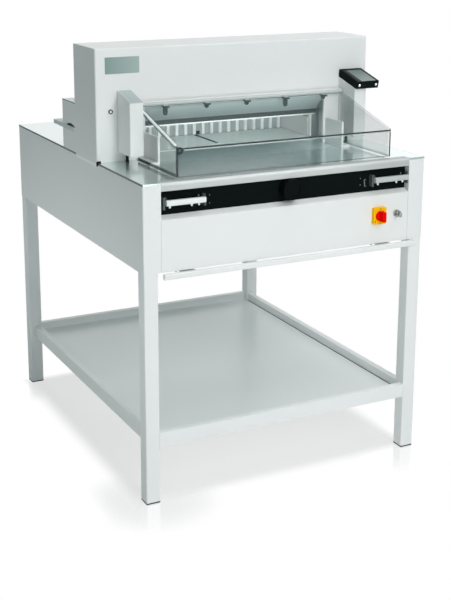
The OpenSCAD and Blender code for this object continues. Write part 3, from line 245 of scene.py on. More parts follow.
class Graph:
    """A node tree under construction."""

    def __init__(self, tree):
        self.tree = tree
        tree.nodes.clear()

    def node(self, kind, settings=None, inputs=None, out=0):
        """Adds a node and gives one of its outputs, or the node itself where out is None."""
        made = self.tree.nodes.new(kind)
        for key, value in (settings or {}).items():
            setattr(made, key, value)
        for key, value in (inputs or {}).items():
            self.plug(made.inputs[key], value)
        return made if out is None else Shade(self, made.outputs[out])

    def plug(self, socket, value):
        """Links a shade to a socket, or sets a number or a colour on it."""
        if isinstance(value, Shade):
            self.tree.links.new(value.socket, socket)
        elif hasattr(socket.default_value, "__len__") and len(value) < len(socket.default_value):
            socket.default_value = (*value, 1)
        else:
            socket.default_value = value

    def mix(self, factor, first, second):
        """Goes from the first colour to the second as the factor rises."""
        return self.node("ShaderNodeMix", {"data_type": "RGBA"}, {0: factor, 6: first, 7: second}, out=2)

    def fade(self, value, start, end):
        """Rises smoothly from nought to one between two values."""
        return self.node("ShaderNodeMapRange", {"interpolation_type": "SMOOTHSTEP"},
                         {"Value": value, "From Min": start, "From Max": end})

    def ray(self, *kinds):
        """One for the named kinds of ray, nought for the others."""
        path = self.node("ShaderNodeLightPath", out=None)
        first, *others = [Shade(self, path.outputs[kind]) for kind in kinds]
        return first.most(*others)


class Finish(Graph):
    """A material under construction, with one Principled shader."""

    def __init__(self, name, **constants):
        self.material = bpy.data.materials.new(name)
        self.material.use_nodes = True
        super().__init__(self.material.node_tree)
        self.shader = self.node("ShaderNodeBsdfPrincipled")
        self.output = self.node("ShaderNodeOutputMaterial", inputs={"Surface": self.shader}, out=None)
        for label, value in constants.items():
            self.set(label.replace("_", " "), value)

    def set(self, label, value):
        """Sets one socket of the Principled shader."""
        self.plug(self.shader.socket.node.inputs[label], value)

    def place(self):
        """A point's place in its object."""
        return self.node("ShaderNodeTexCoord", out="Object")

    def axes(self, letters):
        """A point's place in its object along the axes that the letters name."""
        split = self.node("ShaderNodeSeparateXYZ", inputs={0: self.place()}, out=None)
        return [Shade(self, split.outputs[letter]) for letter in letters]

    def upward(self):
        """One on faces that look up, nought on the others."""
        normal = self.node("ShaderNodeNewGeometry", out="Normal")
        return self.node("ShaderNodeSeparateXYZ", inputs={0: normal}, out="Z") > LOOKS_UP

    def noise(self, scale, detail=2, stretch=(1, 1, 1)):
        """Soft noise, drawn out along an axis whose stretch is small."""
        vector = self.node("ShaderNodeVectorMath", {"operation": "MULTIPLY"},
                           {0: self.place(), 1: stretch})
        return self.node("ShaderNodeTexNoise",
                         inputs={"Vector": vector, "Scale": scale, "Detail": detail})

    def bump(self, height, distance):
        """Raises the surface by a height from nought to one, times a distance in metres."""
        self.set("Normal", self.node("ShaderNodeBump", inputs={"Distance": distance, "Height": height}))

    def shades(self, mask, colour, darker, lighter):
        """Goes from a darker to a lighter shade of a colour as the mask rises."""
        return self.mix(mask, tinted(colour, darker), tinted(colour, lighter))

    def paint(self, tone, marks=()):
        """Sets the base colour: a tone, with each mark's colour over it where its mask is one."""
        for mask, colour in marks:
            tone = self.mix(mask, tone, colour)
        self.set("Base Color", tone)


def tinted(colour, gain):
    """A colour made lighter or darker, with no channel over one."""
    return tuple(min(1.0, channel * gain) for channel in colour)


# Finishes


def unmarked(finish):
    """Lists no marks."""
    return ()


def crowned(colour):
    """Gives a function that lists one mark, a colour on the faces that look up: painted light or painted
    shade on their tops.
    """
    return lambda finish: [(finish.upward(), colour)]


def enamel(name, colour, rough=0.40, marks=unmarked, coat=0.12):
    """Stove enamel: clouds of tone, a fine orange peel and a thin gloss."""
    finish = Finish(name, Coat_Weight=coat, Coat_Roughness=0.25, Specular_IOR_Level=0.4)
    cloud = finish.noise(1.7, detail=3)
    grain = finish.noise(420, detail=1)
    finish.paint(finish.shades(cloud, colour, 0.965, 1.03), marks(finish))
    finish.set("Roughness", rough - 0.04 + cloud * 0.05 + grain * 0.04)
    finish.bump(grain, 0.04 * MM)
    return finish.material


def ground_steel(name, colour, rough, lines, stretch=(1, 1, 1), metallic=1.0, tone=0.10):
    """Bare steel with fine tool lines along the axis whose stretch is small."""
    finish = Finish(name, Metallic=metallic)
    line = finish.noise(lines, stretch=stretch)
    cloud = finish.noise(2.6, detail=3)
    finish.paint(finish.shades(line * 0.6 + cloud * 0.4, colour, 1 - tone, 1 + tone))
    finish.set("Roughness", rough - 0.06 + line * 0.08 + cloud * 0.05)
    finish.bump(line, 0.02 * MM)
    return finish.material


def casting(name, colour, marks=unmarked):
    """Painted cast iron with a sand-cast skin."""
    finish = Finish(name, Specular_IOR_Level=0.35)
    skin = finish.noise(160, detail=4)
    cloud = finish.noise(6, detail=3)
    finish.paint(finish.shades(cloud, colour, 0.8, 1.2), marks(finish))
    finish.set("Roughness", 0.5 + skin * 0.2)
    finish.bump(skin, 0.4 * MM)
    return finish.material


def moulded(name, colour, rough=0.35, fineness=900, gloss=0.3, marks=unmarked):
    """Moulded plastic with a fine grain."""
    finish = Finish(name, Specular_IOR_Level=gloss)
    grain = finish.noise(fineness)
    cloud = finish.noise(14)
    finish.paint(finish.shades(cloud, colour, 0.94, 1.06), marks(finish))
    finish.set("Roughness", rough - 0.04 + grain * 0.08)
    finish.bump(grain, 0.03 * MM)
    return finish.material


def bright(name, colour):
    """Polished plating with faint wipe marks."""
    finish = Finish(name, Metallic=1.0)
    wipe = finish.noise(90, detail=3, stretch=(1, 4, 1))
    finish.paint(finish.shades(wipe, colour, 0.92, 1.04))
    finish.set("Roughness", 0.10 + wipe * 0.10)
    return finish.material


# Meshes


def add(name, data):
    """A new object in the scene."""
    made = bpy.data.objects.new(name, data)
    bpy.context.scene.collection.objects.link(made)
    return made


def add_mesh(name, shape, material):
    """A new mesh object from a bmesh, which is freed."""
    mesh = bpy.data.meshes.new(name)
    shape.to_mesh(mesh)
    shape.free()
    mesh.materials.append(material)
    return add(name, mesh)


def piece(name, draw, material, body):
    """A mesh object that a function draws, finished and riding on a body."""
    shape = bmesh.new()
    draw(shape)
    bmesh.ops.recalc_face_normals(shape, faces=shape.faces)
    made = add_mesh(name, shape, material)
    made.data.polygons.foreach_set("use_smooth", [True] * len(made.data.polygons))
    made.data.set_sharp_from_angle(angle=math.radians(CRISP_ANGLE))
    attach(made, body)


def lathe(shape, profile, centre, axis, steps=16, scale=MM):
    """Turns a profile of (radius, height) points, in units of scale, about an axis through a centre."""
    axis = Vector(axis).normalized()
    side = axis.orthogonal().normalized()
    other = axis.cross(side)
    rings = []
    for radius, height in profile:
        middle = Vector(centre) + axis * height * scale
        if radius == 0:
            rings.append([shape.verts.new(middle)])
            continue
        ring = []
        for step in range(steps):
            turn = 2 * math.pi * step / steps
            outward = side * math.cos(turn) + other * math.sin(turn)
            ring.append(shape.verts.new(middle + outward * radius * scale))
        rings.append(ring)
    for low, high in zip(rings, rings[1:]):
        for step in range(steps):
            after = (step + 1) % steps
            corners = [low[step % len(low)], low[after % len(low)]]
            corners += [high[after % len(high)], high[step % len(high)]]
            unique = list(dict.fromkeys(corners))
            if len(unique) > 2:
                shape.faces.new(unique)


def block(shape, low, high, radius, steps=3):
    """A box between two corners, with rounded edges."""
    low, high = Vector(low), Vector(high)
    verts = bmesh.ops.create_cube(shape, size=1.0)["verts"]
    for vert in verts:
        vert.co = (low + high) / 2 + Vector(part * length for part, length in zip(vert.co, high - low))
    edges = list(dict.fromkeys(edge for vert in verts for edge in vert.link_edges))
    bmesh.ops.bevel(shape, geom=edges, offset=radius, segments=steps, affect="EDGES", profile=0.5)


def dress(names, material, fold=0.0):
    """Gives CAD solids a finish, and rounds their edges where a fold is given."""
    for name in names:
        solid = frame["nodes"][name]
        for place in solid.material_slots:
            place.link = "OBJECT"
            place.material = material
        if fold > 0:
            weld = solid.modifiers.new("weld", "WELD")
            weld.merge_threshold = 0.02 * MM
            bevel = solid.modifiers.new("fold", "BEVEL")
            bevel.width = fold
            bevel.segments = 2
            bevel.limit_method = "ANGLE"
            bevel.angle_limit = math.radians(ROUNDED_ANGLE)
            bevel.use_clamp_overlap = True
            normals = solid.modifiers.new("normals", "WEIGHTED_NORMAL")
            normals.keep_sharp = False


# Operators


class CUTTER_OT_studio(Operator):
    """Camera, lamps, white surroundings and a pale floor"""

    bl_idname = "cutter.studio"
    bl_label = "Studio"

    def execute(self, context):
        settings = context.scene.cutter_studio
        self.camera(settings)
        for name, (place, target, size, spread) in LAMPS.items():
            self.lamp(name + "_lamp", place, target, size, spread, getattr(settings, name))
        self.surroundings(settings.ambient)
        self.floor(settings.floor, settings.bounce)
        context.scene.view_settings.view_transform = "Standard"
        return {"FINISHED"}

    @staticmethod
    def camera(settings):
        """Camera that is turned, tipped and leaned as the settings say"""
        turn_sine, turn_cosine = math.sin(settings.yaw), math.cos(settings.yaw)
        lean_sine, lean_cosine = math.sin(settings.roll), math.cos(settings.roll)
        level = math.cos(settings.pitch)
        forward = Vector((turn_sine * level, turn_cosine * level, math.sin(settings.pitch)))
        right = Vector((turn_cosine, -turn_sine, 0))
        up = right.cross(forward)
        axes = (right * lean_cosine + up * lean_sine, up * lean_cosine - right * lean_sine, -forward)
        data = bpy.data.cameras.new("camera")
        data.lens = settings.lens
        data.sensor_width = 36
        data.shift_y = settings.drop
        data.clip_end = 100
        made = add("camera", data)
        made.matrix_world = Matrix.Translation(settings.place) @ Matrix(axes).transposed().to_4x4()
        bpy.context.scene.camera = made

    @staticmethod
    def lamp(name, place, target, size, spread, watts):
        """Flat rectangular lamp that faces a point"""
        data = bpy.data.lights.new(name, "AREA")
        data.shape = "RECTANGLE"
        data.size, data.size_y = size
        data.spread = math.radians(spread)
        data.energy = watts
        made = add(name, data)
        made.location = place
        made.rotation_euler = (Vector(target) - Vector(place)).to_track_quat("-Z", "Y").to_euler()

    @staticmethod
    def surroundings(ambient):
        """White to the camera, a little brighter in mirrors, and a dim cool light on the rest"""
        mirror_strength = 1.2
        world = bpy.data.worlds.new("surroundings")
        world.use_nodes = True
        graph = Graph(world.node_tree)
        seen = graph.ray("Is Camera Ray", "Is Transmission Ray")
        mirrored = graph.ray("Is Glossy Ray")
        tone = graph.mix(seen.most(mirrored), (0.72, 1.0, 0.985), (1, 1, 1))
        strength = ambient + seen * (1 - ambient) + mirrored * (mirror_strength - ambient)
        glow = graph.node("ShaderNodeBackground", inputs={"Color": tone, "Strength": strength})
        graph.node("ShaderNodeOutputWorld", inputs={"Surface": glow}, out=None)
        bpy.context.scene.world = world

    @staticmethod
    def floor(glow_seen, glow_all):
        """White floor that keeps the shadow under the stand and the feet's reflections"""
        half_width = 30
        # The shaded floor reaches twice this far past the feet on the left
        reach = 14 * MM
        # The reflections are centred this far inside the outer edges of the feet
        inset = 30 * MM
        shine = 0.27
        # They are full and gone at these squares of the distance from there, in square metres
        full, gone = 0.003, 0.05
        finish = Finish("floor", Roughness=0.5, Specular_IOR_Level=0.0, Emission_Strength=1.0)
        seen = finish.ray("Is Camera Ray")
        cloud = finish.mix(finish.noise(0.8), (0.90, 0.90, 0.90), (0.93, 0.93, 0.93))
        finish.paint(cloud, [(seen, (0.22, 0.22, 0.22))])
        glow = finish.mix(seen, tinted((0.95, 1, 1), glow_all), tinted((1, 1, 1), glow_seen))
        finish.set("Emission Color", glow)
        low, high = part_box("foot_pads")
        middle, half = (low + high) / 2, (high - low) / 2
        x, y = finish.axes("XY")
        beyond = (abs(x - middle.x + reach) - half.x - reach).most(abs(y - middle.y) - half.y)
        outside = finish.fade(beyond, -50 * MM, 20 * MM)
        across = abs(abs(x - middle.x) - half.x + inset)
        along = abs(abs(y - middle.y) - half.y + inset)
        mirror = shine - finish.fade(across * across + along * along, full, gone) * shine
        white = finish.node("ShaderNodeEmission", inputs={"Color": (1, 1, 1), "Strength": 1.0})
        gloss = finish.node("ShaderNodeBsdfGlossy", inputs={"Color": (1, 1, 1), "Roughness": 0.15})
        open_floor = finish.node("ShaderNodeMixShader", inputs={0: mirror, 1: white, 2: gloss})
        both = finish.node("ShaderNodeMixShader",
                           inputs={0: seen * outside, 1: finish.shader, 2: open_floor})
        finish.plug(finish.output.inputs["Surface"], both)
        shape = bmesh.new()
        bmesh.ops.create_grid(shape, x_segments=1, y_segments=1, size=half_width)
        made = add_mesh("floor", shape, finish.material)


class CUTTER_OT_sheets(Operator):
    """Enamel on the stand, the body, the housing and the arms"""

    bl_idname = "cutter.sheets"
    bl_label = "Enamelled sheets"

    def execute(self, context):
        settings = context.scene.cutter_paint
        white, grey = settings.enamel, settings.grey
        plain_white = enamel("white_enamel", white)
        dress(["leg_front_left", "leg_front_right", "leg_rear_left", "leg_rear_right", "side_panel_left",
               "side_panel_right", "rear_panel", "housing_rear", "knee_bar"], plain_white)
        dress(["side_lays"], plain_white, settings.fold)
        dress(["housing_cover"], enamel("housing_enamel", white, marks=self.housing_marks))
        # The front panel's upward faces, the ledge among them, are painted lighter as painted light
        dress(["front_panel"], enamel("ledge_enamel", white, marks=crowned(tinted(white, 1.14))))
        # The tray's upward faces and rim tops are painted lighter as painted light
        dress(["shelf_tray"], enamel("tray_enamel", white, marks=self.tray_marks, coat=0.42))
        # The arms' tops are painted a darker grey as painted shade
        dress(["arm_left", "arm_right"], enamel("arm_enamel", white, marks=crowned(settings.arm_top_shade)))
        dress(["rear_guard"], enamel("guard_enamel", white, marks=self.guard_marks))
        # The hinge tube is the white enamel darkened, as painted shade
        tube_shaded_white = tinted(white, 0.76)
        dress(["hinge_tube"], enamel("tube_enamel", tube_shaded_white, rough=0.25, marks=self.tube_marks))
        dress(["bottom_pan", "rear_shelf"], enamel("grey_enamel", grey))
        # The shield's grey, a touch darker than the other grey sheets, and its darkening towards the
        # knife are painted shade
        dress(["knife_shield"], enamel("shield_enamel", tinted(grey, 0.95), marks=self.shield_shade))
        dress(["strip_panel"],
              moulded("strip_black", settings.black, rough=0.6, fineness=1200, gloss=0.0))
        # The fingers are painted lighter and the plate between them grey: painted light and shade in the
        # throat
        dress(["backgauge"], self.gauge(tinted(white, 1.15), tinted(grey, 0.75)))
        return {"FINISHED"}

    @staticmethod
    def tray_marks(finish):
        """Upward faces of the tray painted paler and its rim tops painted white, as painted light, and a
        dark strip on the floor at the foot of the right rim
        """
        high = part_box("shelf_tray")[1]
        x, z = finish.axes("XZ")
        upward = finish.upward()
        rim = z > high.z - 2 * MM
        right_rim_strip = upward * (x > high.x - 24.5 * MM) * (1 - rim)
        return [(upward, (0.93, 0.94, 0.935)), (upward * rim, (1, 1, 1)), (right_rim_strip, (0.06, 0.08, 0.08))]

    @staticmethod
    def housing_marks(finish):
        """A painted highlight: a pale line along the foot of the housing's sides"""
        low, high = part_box("housing_cover")
        x, z = finish.axes("XZ")
        side = abs(x) > high.x - 0.5 * MM
        return [(side * (z < low.z + 9 * MM), (0.97, 0.98, 0.98))]

    @staticmethod
    def shield_shade(finish):
        """Painted shade: the shield grows darker towards the knife"""
        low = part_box("knife_shield")[0]
        [z] = finish.axes("Z")
        return [(1 - finish.fade(z, low.z, low.z + 60 * MM), (0.28, 0.335, 0.33))]

    @staticmethod
    def guard_marks(finish):
        """Painted shade and painted highlight lines along the guard's upper side edges, and a lid
        painted paler as painted light
        """
        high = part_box("rear_guard")[1]
        x, z = finish.axes("XZ")
        side = abs(x) > high.x - 0.5 * MM
        lid = (z > high.z - 0.4 * MM) * (1 - side)
        pale_line = side * (z > high.z - 6 * MM)
        dark_line = side * (z > high.z - 2.8 * MM)
        return [(lid, PALE), (pale_line, PALE), (dark_line, (0.03, 0.04, 0.04))]

    @staticmethod
    def tube_marks(finish):
        """Painted shade: two darker lines along the hinge tube where it is grooved, and its dark
        underside
        """
        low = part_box("hinge_tube")[0]
        [z] = finish.axes("Z")
        height = (z - low.z) / MM
        underside = height < 2.5
        groove_shade = [(abs(height - middle) < 0.8, (0.40, 0.46, 0.46)) for middle in (12.3, 6.8)]
        return [*groove_shade, (underside, (0.10, 0.12, 0.12))]

    @staticmethod
    def gauge(fingers, plate):
        """Fingers painted lighter than the white enamel as painted light, before a plate painted grey as
        the shade between them
        """
        finish = Finish("gauge_enamel", Specular_IOR_Level=0.4)
        [y] = finish.axes("Y")
        grain = finish.noise(300)
        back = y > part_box("backgauge")[0].y + 7.5 * MM
        finish.paint(fingers, [(back, plate)])
        finish.set("Roughness", 0.38 + grain * 0.1)
        finish.bump(grain, 0.03 * MM)
        return finish.material


class CUTTER_OT_table(Operator):
    """Ground steel on the table and its nose"""

    bl_idname = "cutter.table"
    bl_label = "Table"

    def execute(self, context):
        settings = context.scene.cutter_metal
        dress(["table_front"], self.plate("front_steel", settings.table), PLATE_EDGE)
        # The rear plate is the table steel darkened, as painted shade
        dress(["table_rear"], self.plate("rear_steel", tinted(settings.table, 0.8)), PLATE_EDGE)
        nose = ground_steel("nose_metal", settings.nose, rough=0.48, lines=500, stretch=LEFT_TO_RIGHT,
                            metallic=0.3, tone=0.05)
        dress(["table_nose"], nose)
        return {"FINISHED"}

    @staticmethod
    def plate(name, colour):
        """Fine ground steel, with a painted reflection of the gauge's white fingers that makes it pale
        before the gauge, and painted shade in the slot and along the side edges
        """
        finish = Finish(name)
        x, y = finish.axes("XY")
        line = finish.noise(260, stretch=LEFT_TO_RIGHT)
        cloud = finish.noise(2.6, detail=3)
        low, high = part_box("table_rear")
        # Painted shade in the slot and along the side edges
        slot = (abs(x) < 6 * MM) * (y > low.y + 58 * MM)
        rim = abs(x) > high.x - 1.2 * MM
        start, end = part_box("side_lays")[0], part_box("backgauge")[0]
        # Painted reflection: before the gauge the steel is painted pale and made less metallic
        painted_gauge_reflection = finish.fade(y, start.y - 60 * MM, start.y + 60 * MM) * (y < end.y) * (abs(x) < -start.x)
        tone = finish.shades(line * 0.6 + cloud * 0.4, colour, 0.95, 1.05)
        finish.paint(tone, [(painted_gauge_reflection, (0.84, 0.93, 0.91)), (rim, (0.16, 0.19, 0.19)),
                            (slot, (0.03, 0.04, 0.04))])
        finish.set("Metallic", 0.8 - painted_gauge_reflection * 0.3)
        finish.set("Roughness", 0.14 + line * 0.04 + cloud * 0.05)
        finish.bump(line, 0.008 * MM)
        return finish.material


class CUTTER_OT_works(Operator):
    """Steel, castings and motors of the knife, the clamp and the drives"""

    bl_idname = "cutter.works"
    bl_label = "Works"

    def execute(self, context):
        settings = context.scene.cutter_metal
        steel = ground_steel("machined_steel", settings.steel, rough=0.34, lines=220,
                             stretch=(1, 1, 0.03))
        dress(["knife_beam", "clamp_beam", "pull_rods", "crankshaft", "spindle", "hinge_pins",
               "knee_brackets", "clamp_cylinders"], steel)
        # The blade's steel is darkened nearly to black as painted shade on its bevel
        dress(["blade"], self.blade(tinted(settings.steel, 0.11)))
        dress(["blade_screws"], ground_steel("screw_black", (0.05, 0.05, 0.055), rough=0.4, lines=400))
        dress(["bed_frame", "crank_bearings", "gear_casing", "spindle_bearings"],
              casting("casting_paint", settings.cast), CAST_EDGE)
        dress(["side_frames"], casting("frame_paint", settings.frame, self.frame_marks), CAST_EDGE)
        dress(["drive_motor", "gauge_motor"], casting("motor_paint", tinted(settings.cast, 0.8)))
        dress(["cutting_stick"], moulded("stick_plastic", (0.55, 0.56, 0.55), rough=0.4, fineness=500))
        dress(["lever_brackets"], moulded("bracket_grey", (0.10, 0.115, 0.115), rough=0.42, gloss=0.2))
        dress(["cover_clips"], self.clips())
        return {"FINISHED"}

    @staticmethod
    def frame_marks(finish):
        """Painted highlight along the inner edge of the side frames, beside the throat"""
        [x] = finish.axes("X")
        inner_highlight = abs(x) < 345.5 * MM
        return [(inner_highlight, PALE)]

    @staticmethod
    def clips():
        """Pale clip bodies on the tube, with dark tongues below it"""
        finish = Finish("clip_metal", Metallic=0.5, Specular_IOR_Level=0.3)
        [z] = finish.axes("Z")
        wear = finish.noise(240)
        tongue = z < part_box("hinge_tube")[0].z + 1 * MM
        finish.paint((0.52, 0.57, 0.57), [(tongue, DARK)])
        finish.set("Roughness", 0.36 + wear * 0.12)
        return finish.material

    @staticmethod
    def blade(colour):
        """Ground steel painted dark as shade on its bevel, with a honed edge that is bright with a
        painted highlight
        """
        finish = Finish("blade_steel", Metallic=0.6, Specular_IOR_Level=0.3)
        [z] = finish.axes("Z")
        line = finish.noise(300, stretch=LEFT_TO_RIGHT)
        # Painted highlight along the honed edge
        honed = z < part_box("blade")[0].z + 4.5 * MM
        finish.paint(colour, [(honed, (0.86, 0.90, 0.90))])
        finish.set("Roughness", 0.5 - honed * 0.1 + line * 0.1)
        finish.bump(line, 0.02 * MM)
        return finish.material


class CUTTER_OT_cover(Operator):
    """Clear sheet of the hinged cover, with painted reflections along its polished edges and a painted
    sheen
    """

    bl_idname = "cutter.cover"
    bl_label = "Clear cover"

    def execute(self, context):
        settings = context.scene.cutter_plastic
        front_height = 86 * MM
        # Depth of the front sheet, breadth of a polished edge, gap from an edge or the bend to its line
        sheet, edge, lip = 6 * MM, 7.5 * MM, 4 * MM
        low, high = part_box("safety_cover")
        middle = (low.x + high.x) / 2
        corner = low.z + front_height
        rise = (high.z - corner) / (high.y - low.y)
        finish = Finish("clear_sheet", Specular_IOR_Level=0.35, IOR=1.49)
        smudge = finish.noise(9, detail=3)

        # Where a point lies: from the nearer cheek, behind the front, below the sloped top
        x, y, z = finish.axes("XYZ")
        near = x < middle
        across = (x - low.x) / (high.x - low.x)
        inset = (high.x - low.x) / 2 - abs(x - middle)
        behind = y - low.y
        below = behind * rise - (z - corner)
        cheek = inset < 5.3 * MM
        sloped = (behind > 12 * MM) * (0.2 + near * 0.8)
        straight = (behind < 9 * MM) * (x > low.x + 24 * MM)

        # Dark lines painted along the edges, the bend and the rolled corner: painted reflections
        cheek_line = cheek * below.between(lip, 8.5 * MM)
        top_line = inset.between(edge, 10.5 * MM) * (below < 5.3 * MM) * 0.7
        outline = cheek_line.most(top_line) * sloped
        upright = (behind < sheet) * (inset < 3.2 * MM + near * 1.6 * MM) * (z < corner)
        bend = straight * z.between(corner - edge, corner - lip)
        foot_lines = (z < low.z + 1.8 * MM).most(z.between(low.z + 4.5 * MM, low.z + 6.8 * MM))
        foot = foot_lines * cheek * (0.3 + near * 0.7)
        curl = self.ring(x - (low.x + 10.5 * MM), z - (corner - 10 * MM)) * (behind < 10 * MM)
        hem = (z < low.z + 2.5 * MM) * 0.45
        dark = upright.most(bend, outline, foot, curl, hem)

        # Bright lines beside them: painted highlights
        glint = (inset < edge) * (below < lip) * sloped
        gleam = straight * z.between(corner - 11 * MM, corner - edge) * 0.45
        pale = glint.most(gleam)

        # A soft painted sheen on the left part of the front: a painted reflection
        front = (behind < sheet) * (z < corner - lip) * (1 - finish.fade(across, 0.35, 0.8))
        shaded = finish.fade(z, low.z - 30 * MM, corner) * (1 - across * 0.4)
        sheen = finish.mix(shaded, (0.26, 0.30, 0.295), (0.02, 0.055, 0.055))

        finish.paint(settings.clear,
                     [(front, sheen), (dark, (0.008, 0.014, 0.016)), (pale, (0.92, 0.96, 0.96))])
        veil = settings.veil * (0.85 + smudge * 0.3) * (1 - finish.ray("Is Shadow Ray"))
        finish.set("Alpha", (dark * 0.92).most(pale * 0.9, veil + front * (veil * 4)))
        finish.set("Roughness", 0.03 + smudge * 0.05)
        dress(["safety_cover"], finish.material)
        return {"FINISHED"}

    @staticmethod
    def ring(across, up):
        """A dark ring painted round the rolled corner of the sheet, a painted reflection"""
        inner, outer = 5 * MM, 10.5 * MM
        span = across * across + up * up
        return span.between(inner ** 2, outer ** 2)


class CUTTER_OT_controls(Operator):
    """Control box, handwheel, levers, switch, key, plate, locks and feet"""

    bl_idname = "cutter.controls"
    bl_label = "Controls"

    def execute(self, context):
        settings = context.scene.cutter_plastic
        dress(["control_box"],
              moulded("black_plastic", (0.007, 0.011, 0.011), rough=0.5, fineness=1100, gloss=0.02))
        dress(["handwheel"], moulded("wheel_plastic", (0.005, 0.0065, 0.0065), rough=0.5, gloss=0.02))
        dress(["control_button_left", "control_button_right"], bright("plating", (0.72, 0.74, 0.74)))
        dress(["key_lock", "key"], bright("lock_metal", (0.46, 0.48, 0.46)))
        # The right lever is the same white plastic as the left, painted darker grey as painted shade
        for lever, colour in (("start_lever_left", (0.84, 0.87, 0.87)),
                              ("start_lever_right", (0.52, 0.55, 0.55))):
            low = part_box(lever)[0]
            plastic = moulded(lever, colour, marks=lambda finish: self.ears(finish, low))
            dress([lever], plastic, LEVER_EDGE)
        yellow = moulded("switch_yellow", settings.yellow, rough=0.4, gloss=0.08)
        dress(["switch_plate"], yellow, SWITCH_EDGE)
        dress(["switch_knob"], moulded("switch_red", settings.red, rough=0.42, gloss=0.02))
        dress(["foot_pads"],
              moulded("foot_rubber", (0.01, 0.01, 0.01), rough=0.6, fineness=500, gloss=0.15))
        dress(["control_screen"], self.screen())
        dress(["name_plate"], self.plate())
        dress(["cover_locks"], self.locks())
        return {"FINISHED"}

    @staticmethod
    def ears(finish, low):
        """Painted shade: dark ears and trunnions above and behind a lever's white bar"""
        y, z = finish.axes("YZ")
        return [((y > low.y + 14.2 * MM).most(z > low.z + 16.2 * MM), DARK)]

    @staticmethod
    def plate():
        """Bare satin plate with a painted reflection that grows paler to the right"""
        finish = Finish("plate_satin", Metallic=0.15, Specular_IOR_Level=0.3)
        low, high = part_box("name_plate")
        [x] = finish.axes("X")
        grain = finish.noise(500, stretch=(0.05, 1, 1))
        across = (x - low.x) / (high.x - low.x)
        finish.paint(finish.mix(across * 0.9 + grain * 0.1, (0.21, 0.30, 0.28), (0.37, 0.45, 0.445)))
        finish.set("Roughness", 0.36 + grain * 0.1)
        return finish.material

    @staticmethod
    def locks():
        """Cover locks with a bright core in a dark ring"""
        core_share = 0.52
        finish = Finish("lock_core", Metallic=0.6)
        low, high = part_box("cover_locks")
        radius = (high.z - low.z) / 2
        x, z = finish.axes("XZ")
        across = abs(x) - (high.x - radius)
        up = z - (high.z - radius)
        wear = finish.noise(300)
        ring = across * across + up * up > (radius * core_share) ** 2
        finish.paint((0.85, 0.88, 0.88), [(ring, DARK)])
        finish.set("Roughness", 0.3 + wear * 0.15)
        return finish.material

    @staticmethod
    def screen():
        """Grey glass with a painted reflection that darkens towards the back, and a black margin on the
        left
        """
        finish = Finish("screen", Roughness=0.25, Specular_IOR_Level=0.12)
        low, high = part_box("control_screen")
        x, y = finish.axes("XY")
        along = (y - low.y) / (high.y - low.y)
        haze = finish.noise(30)
        glass = finish.mix(along * 0.8 + haze * 0.2, (0.30, 0.34, 0.34), (0.09, 0.155, 0.14))
        margin = x < low.x + 11 * MM
        finish.paint(glass, [(margin, (0.010, 0.013, 0.013))])
        return finish.material


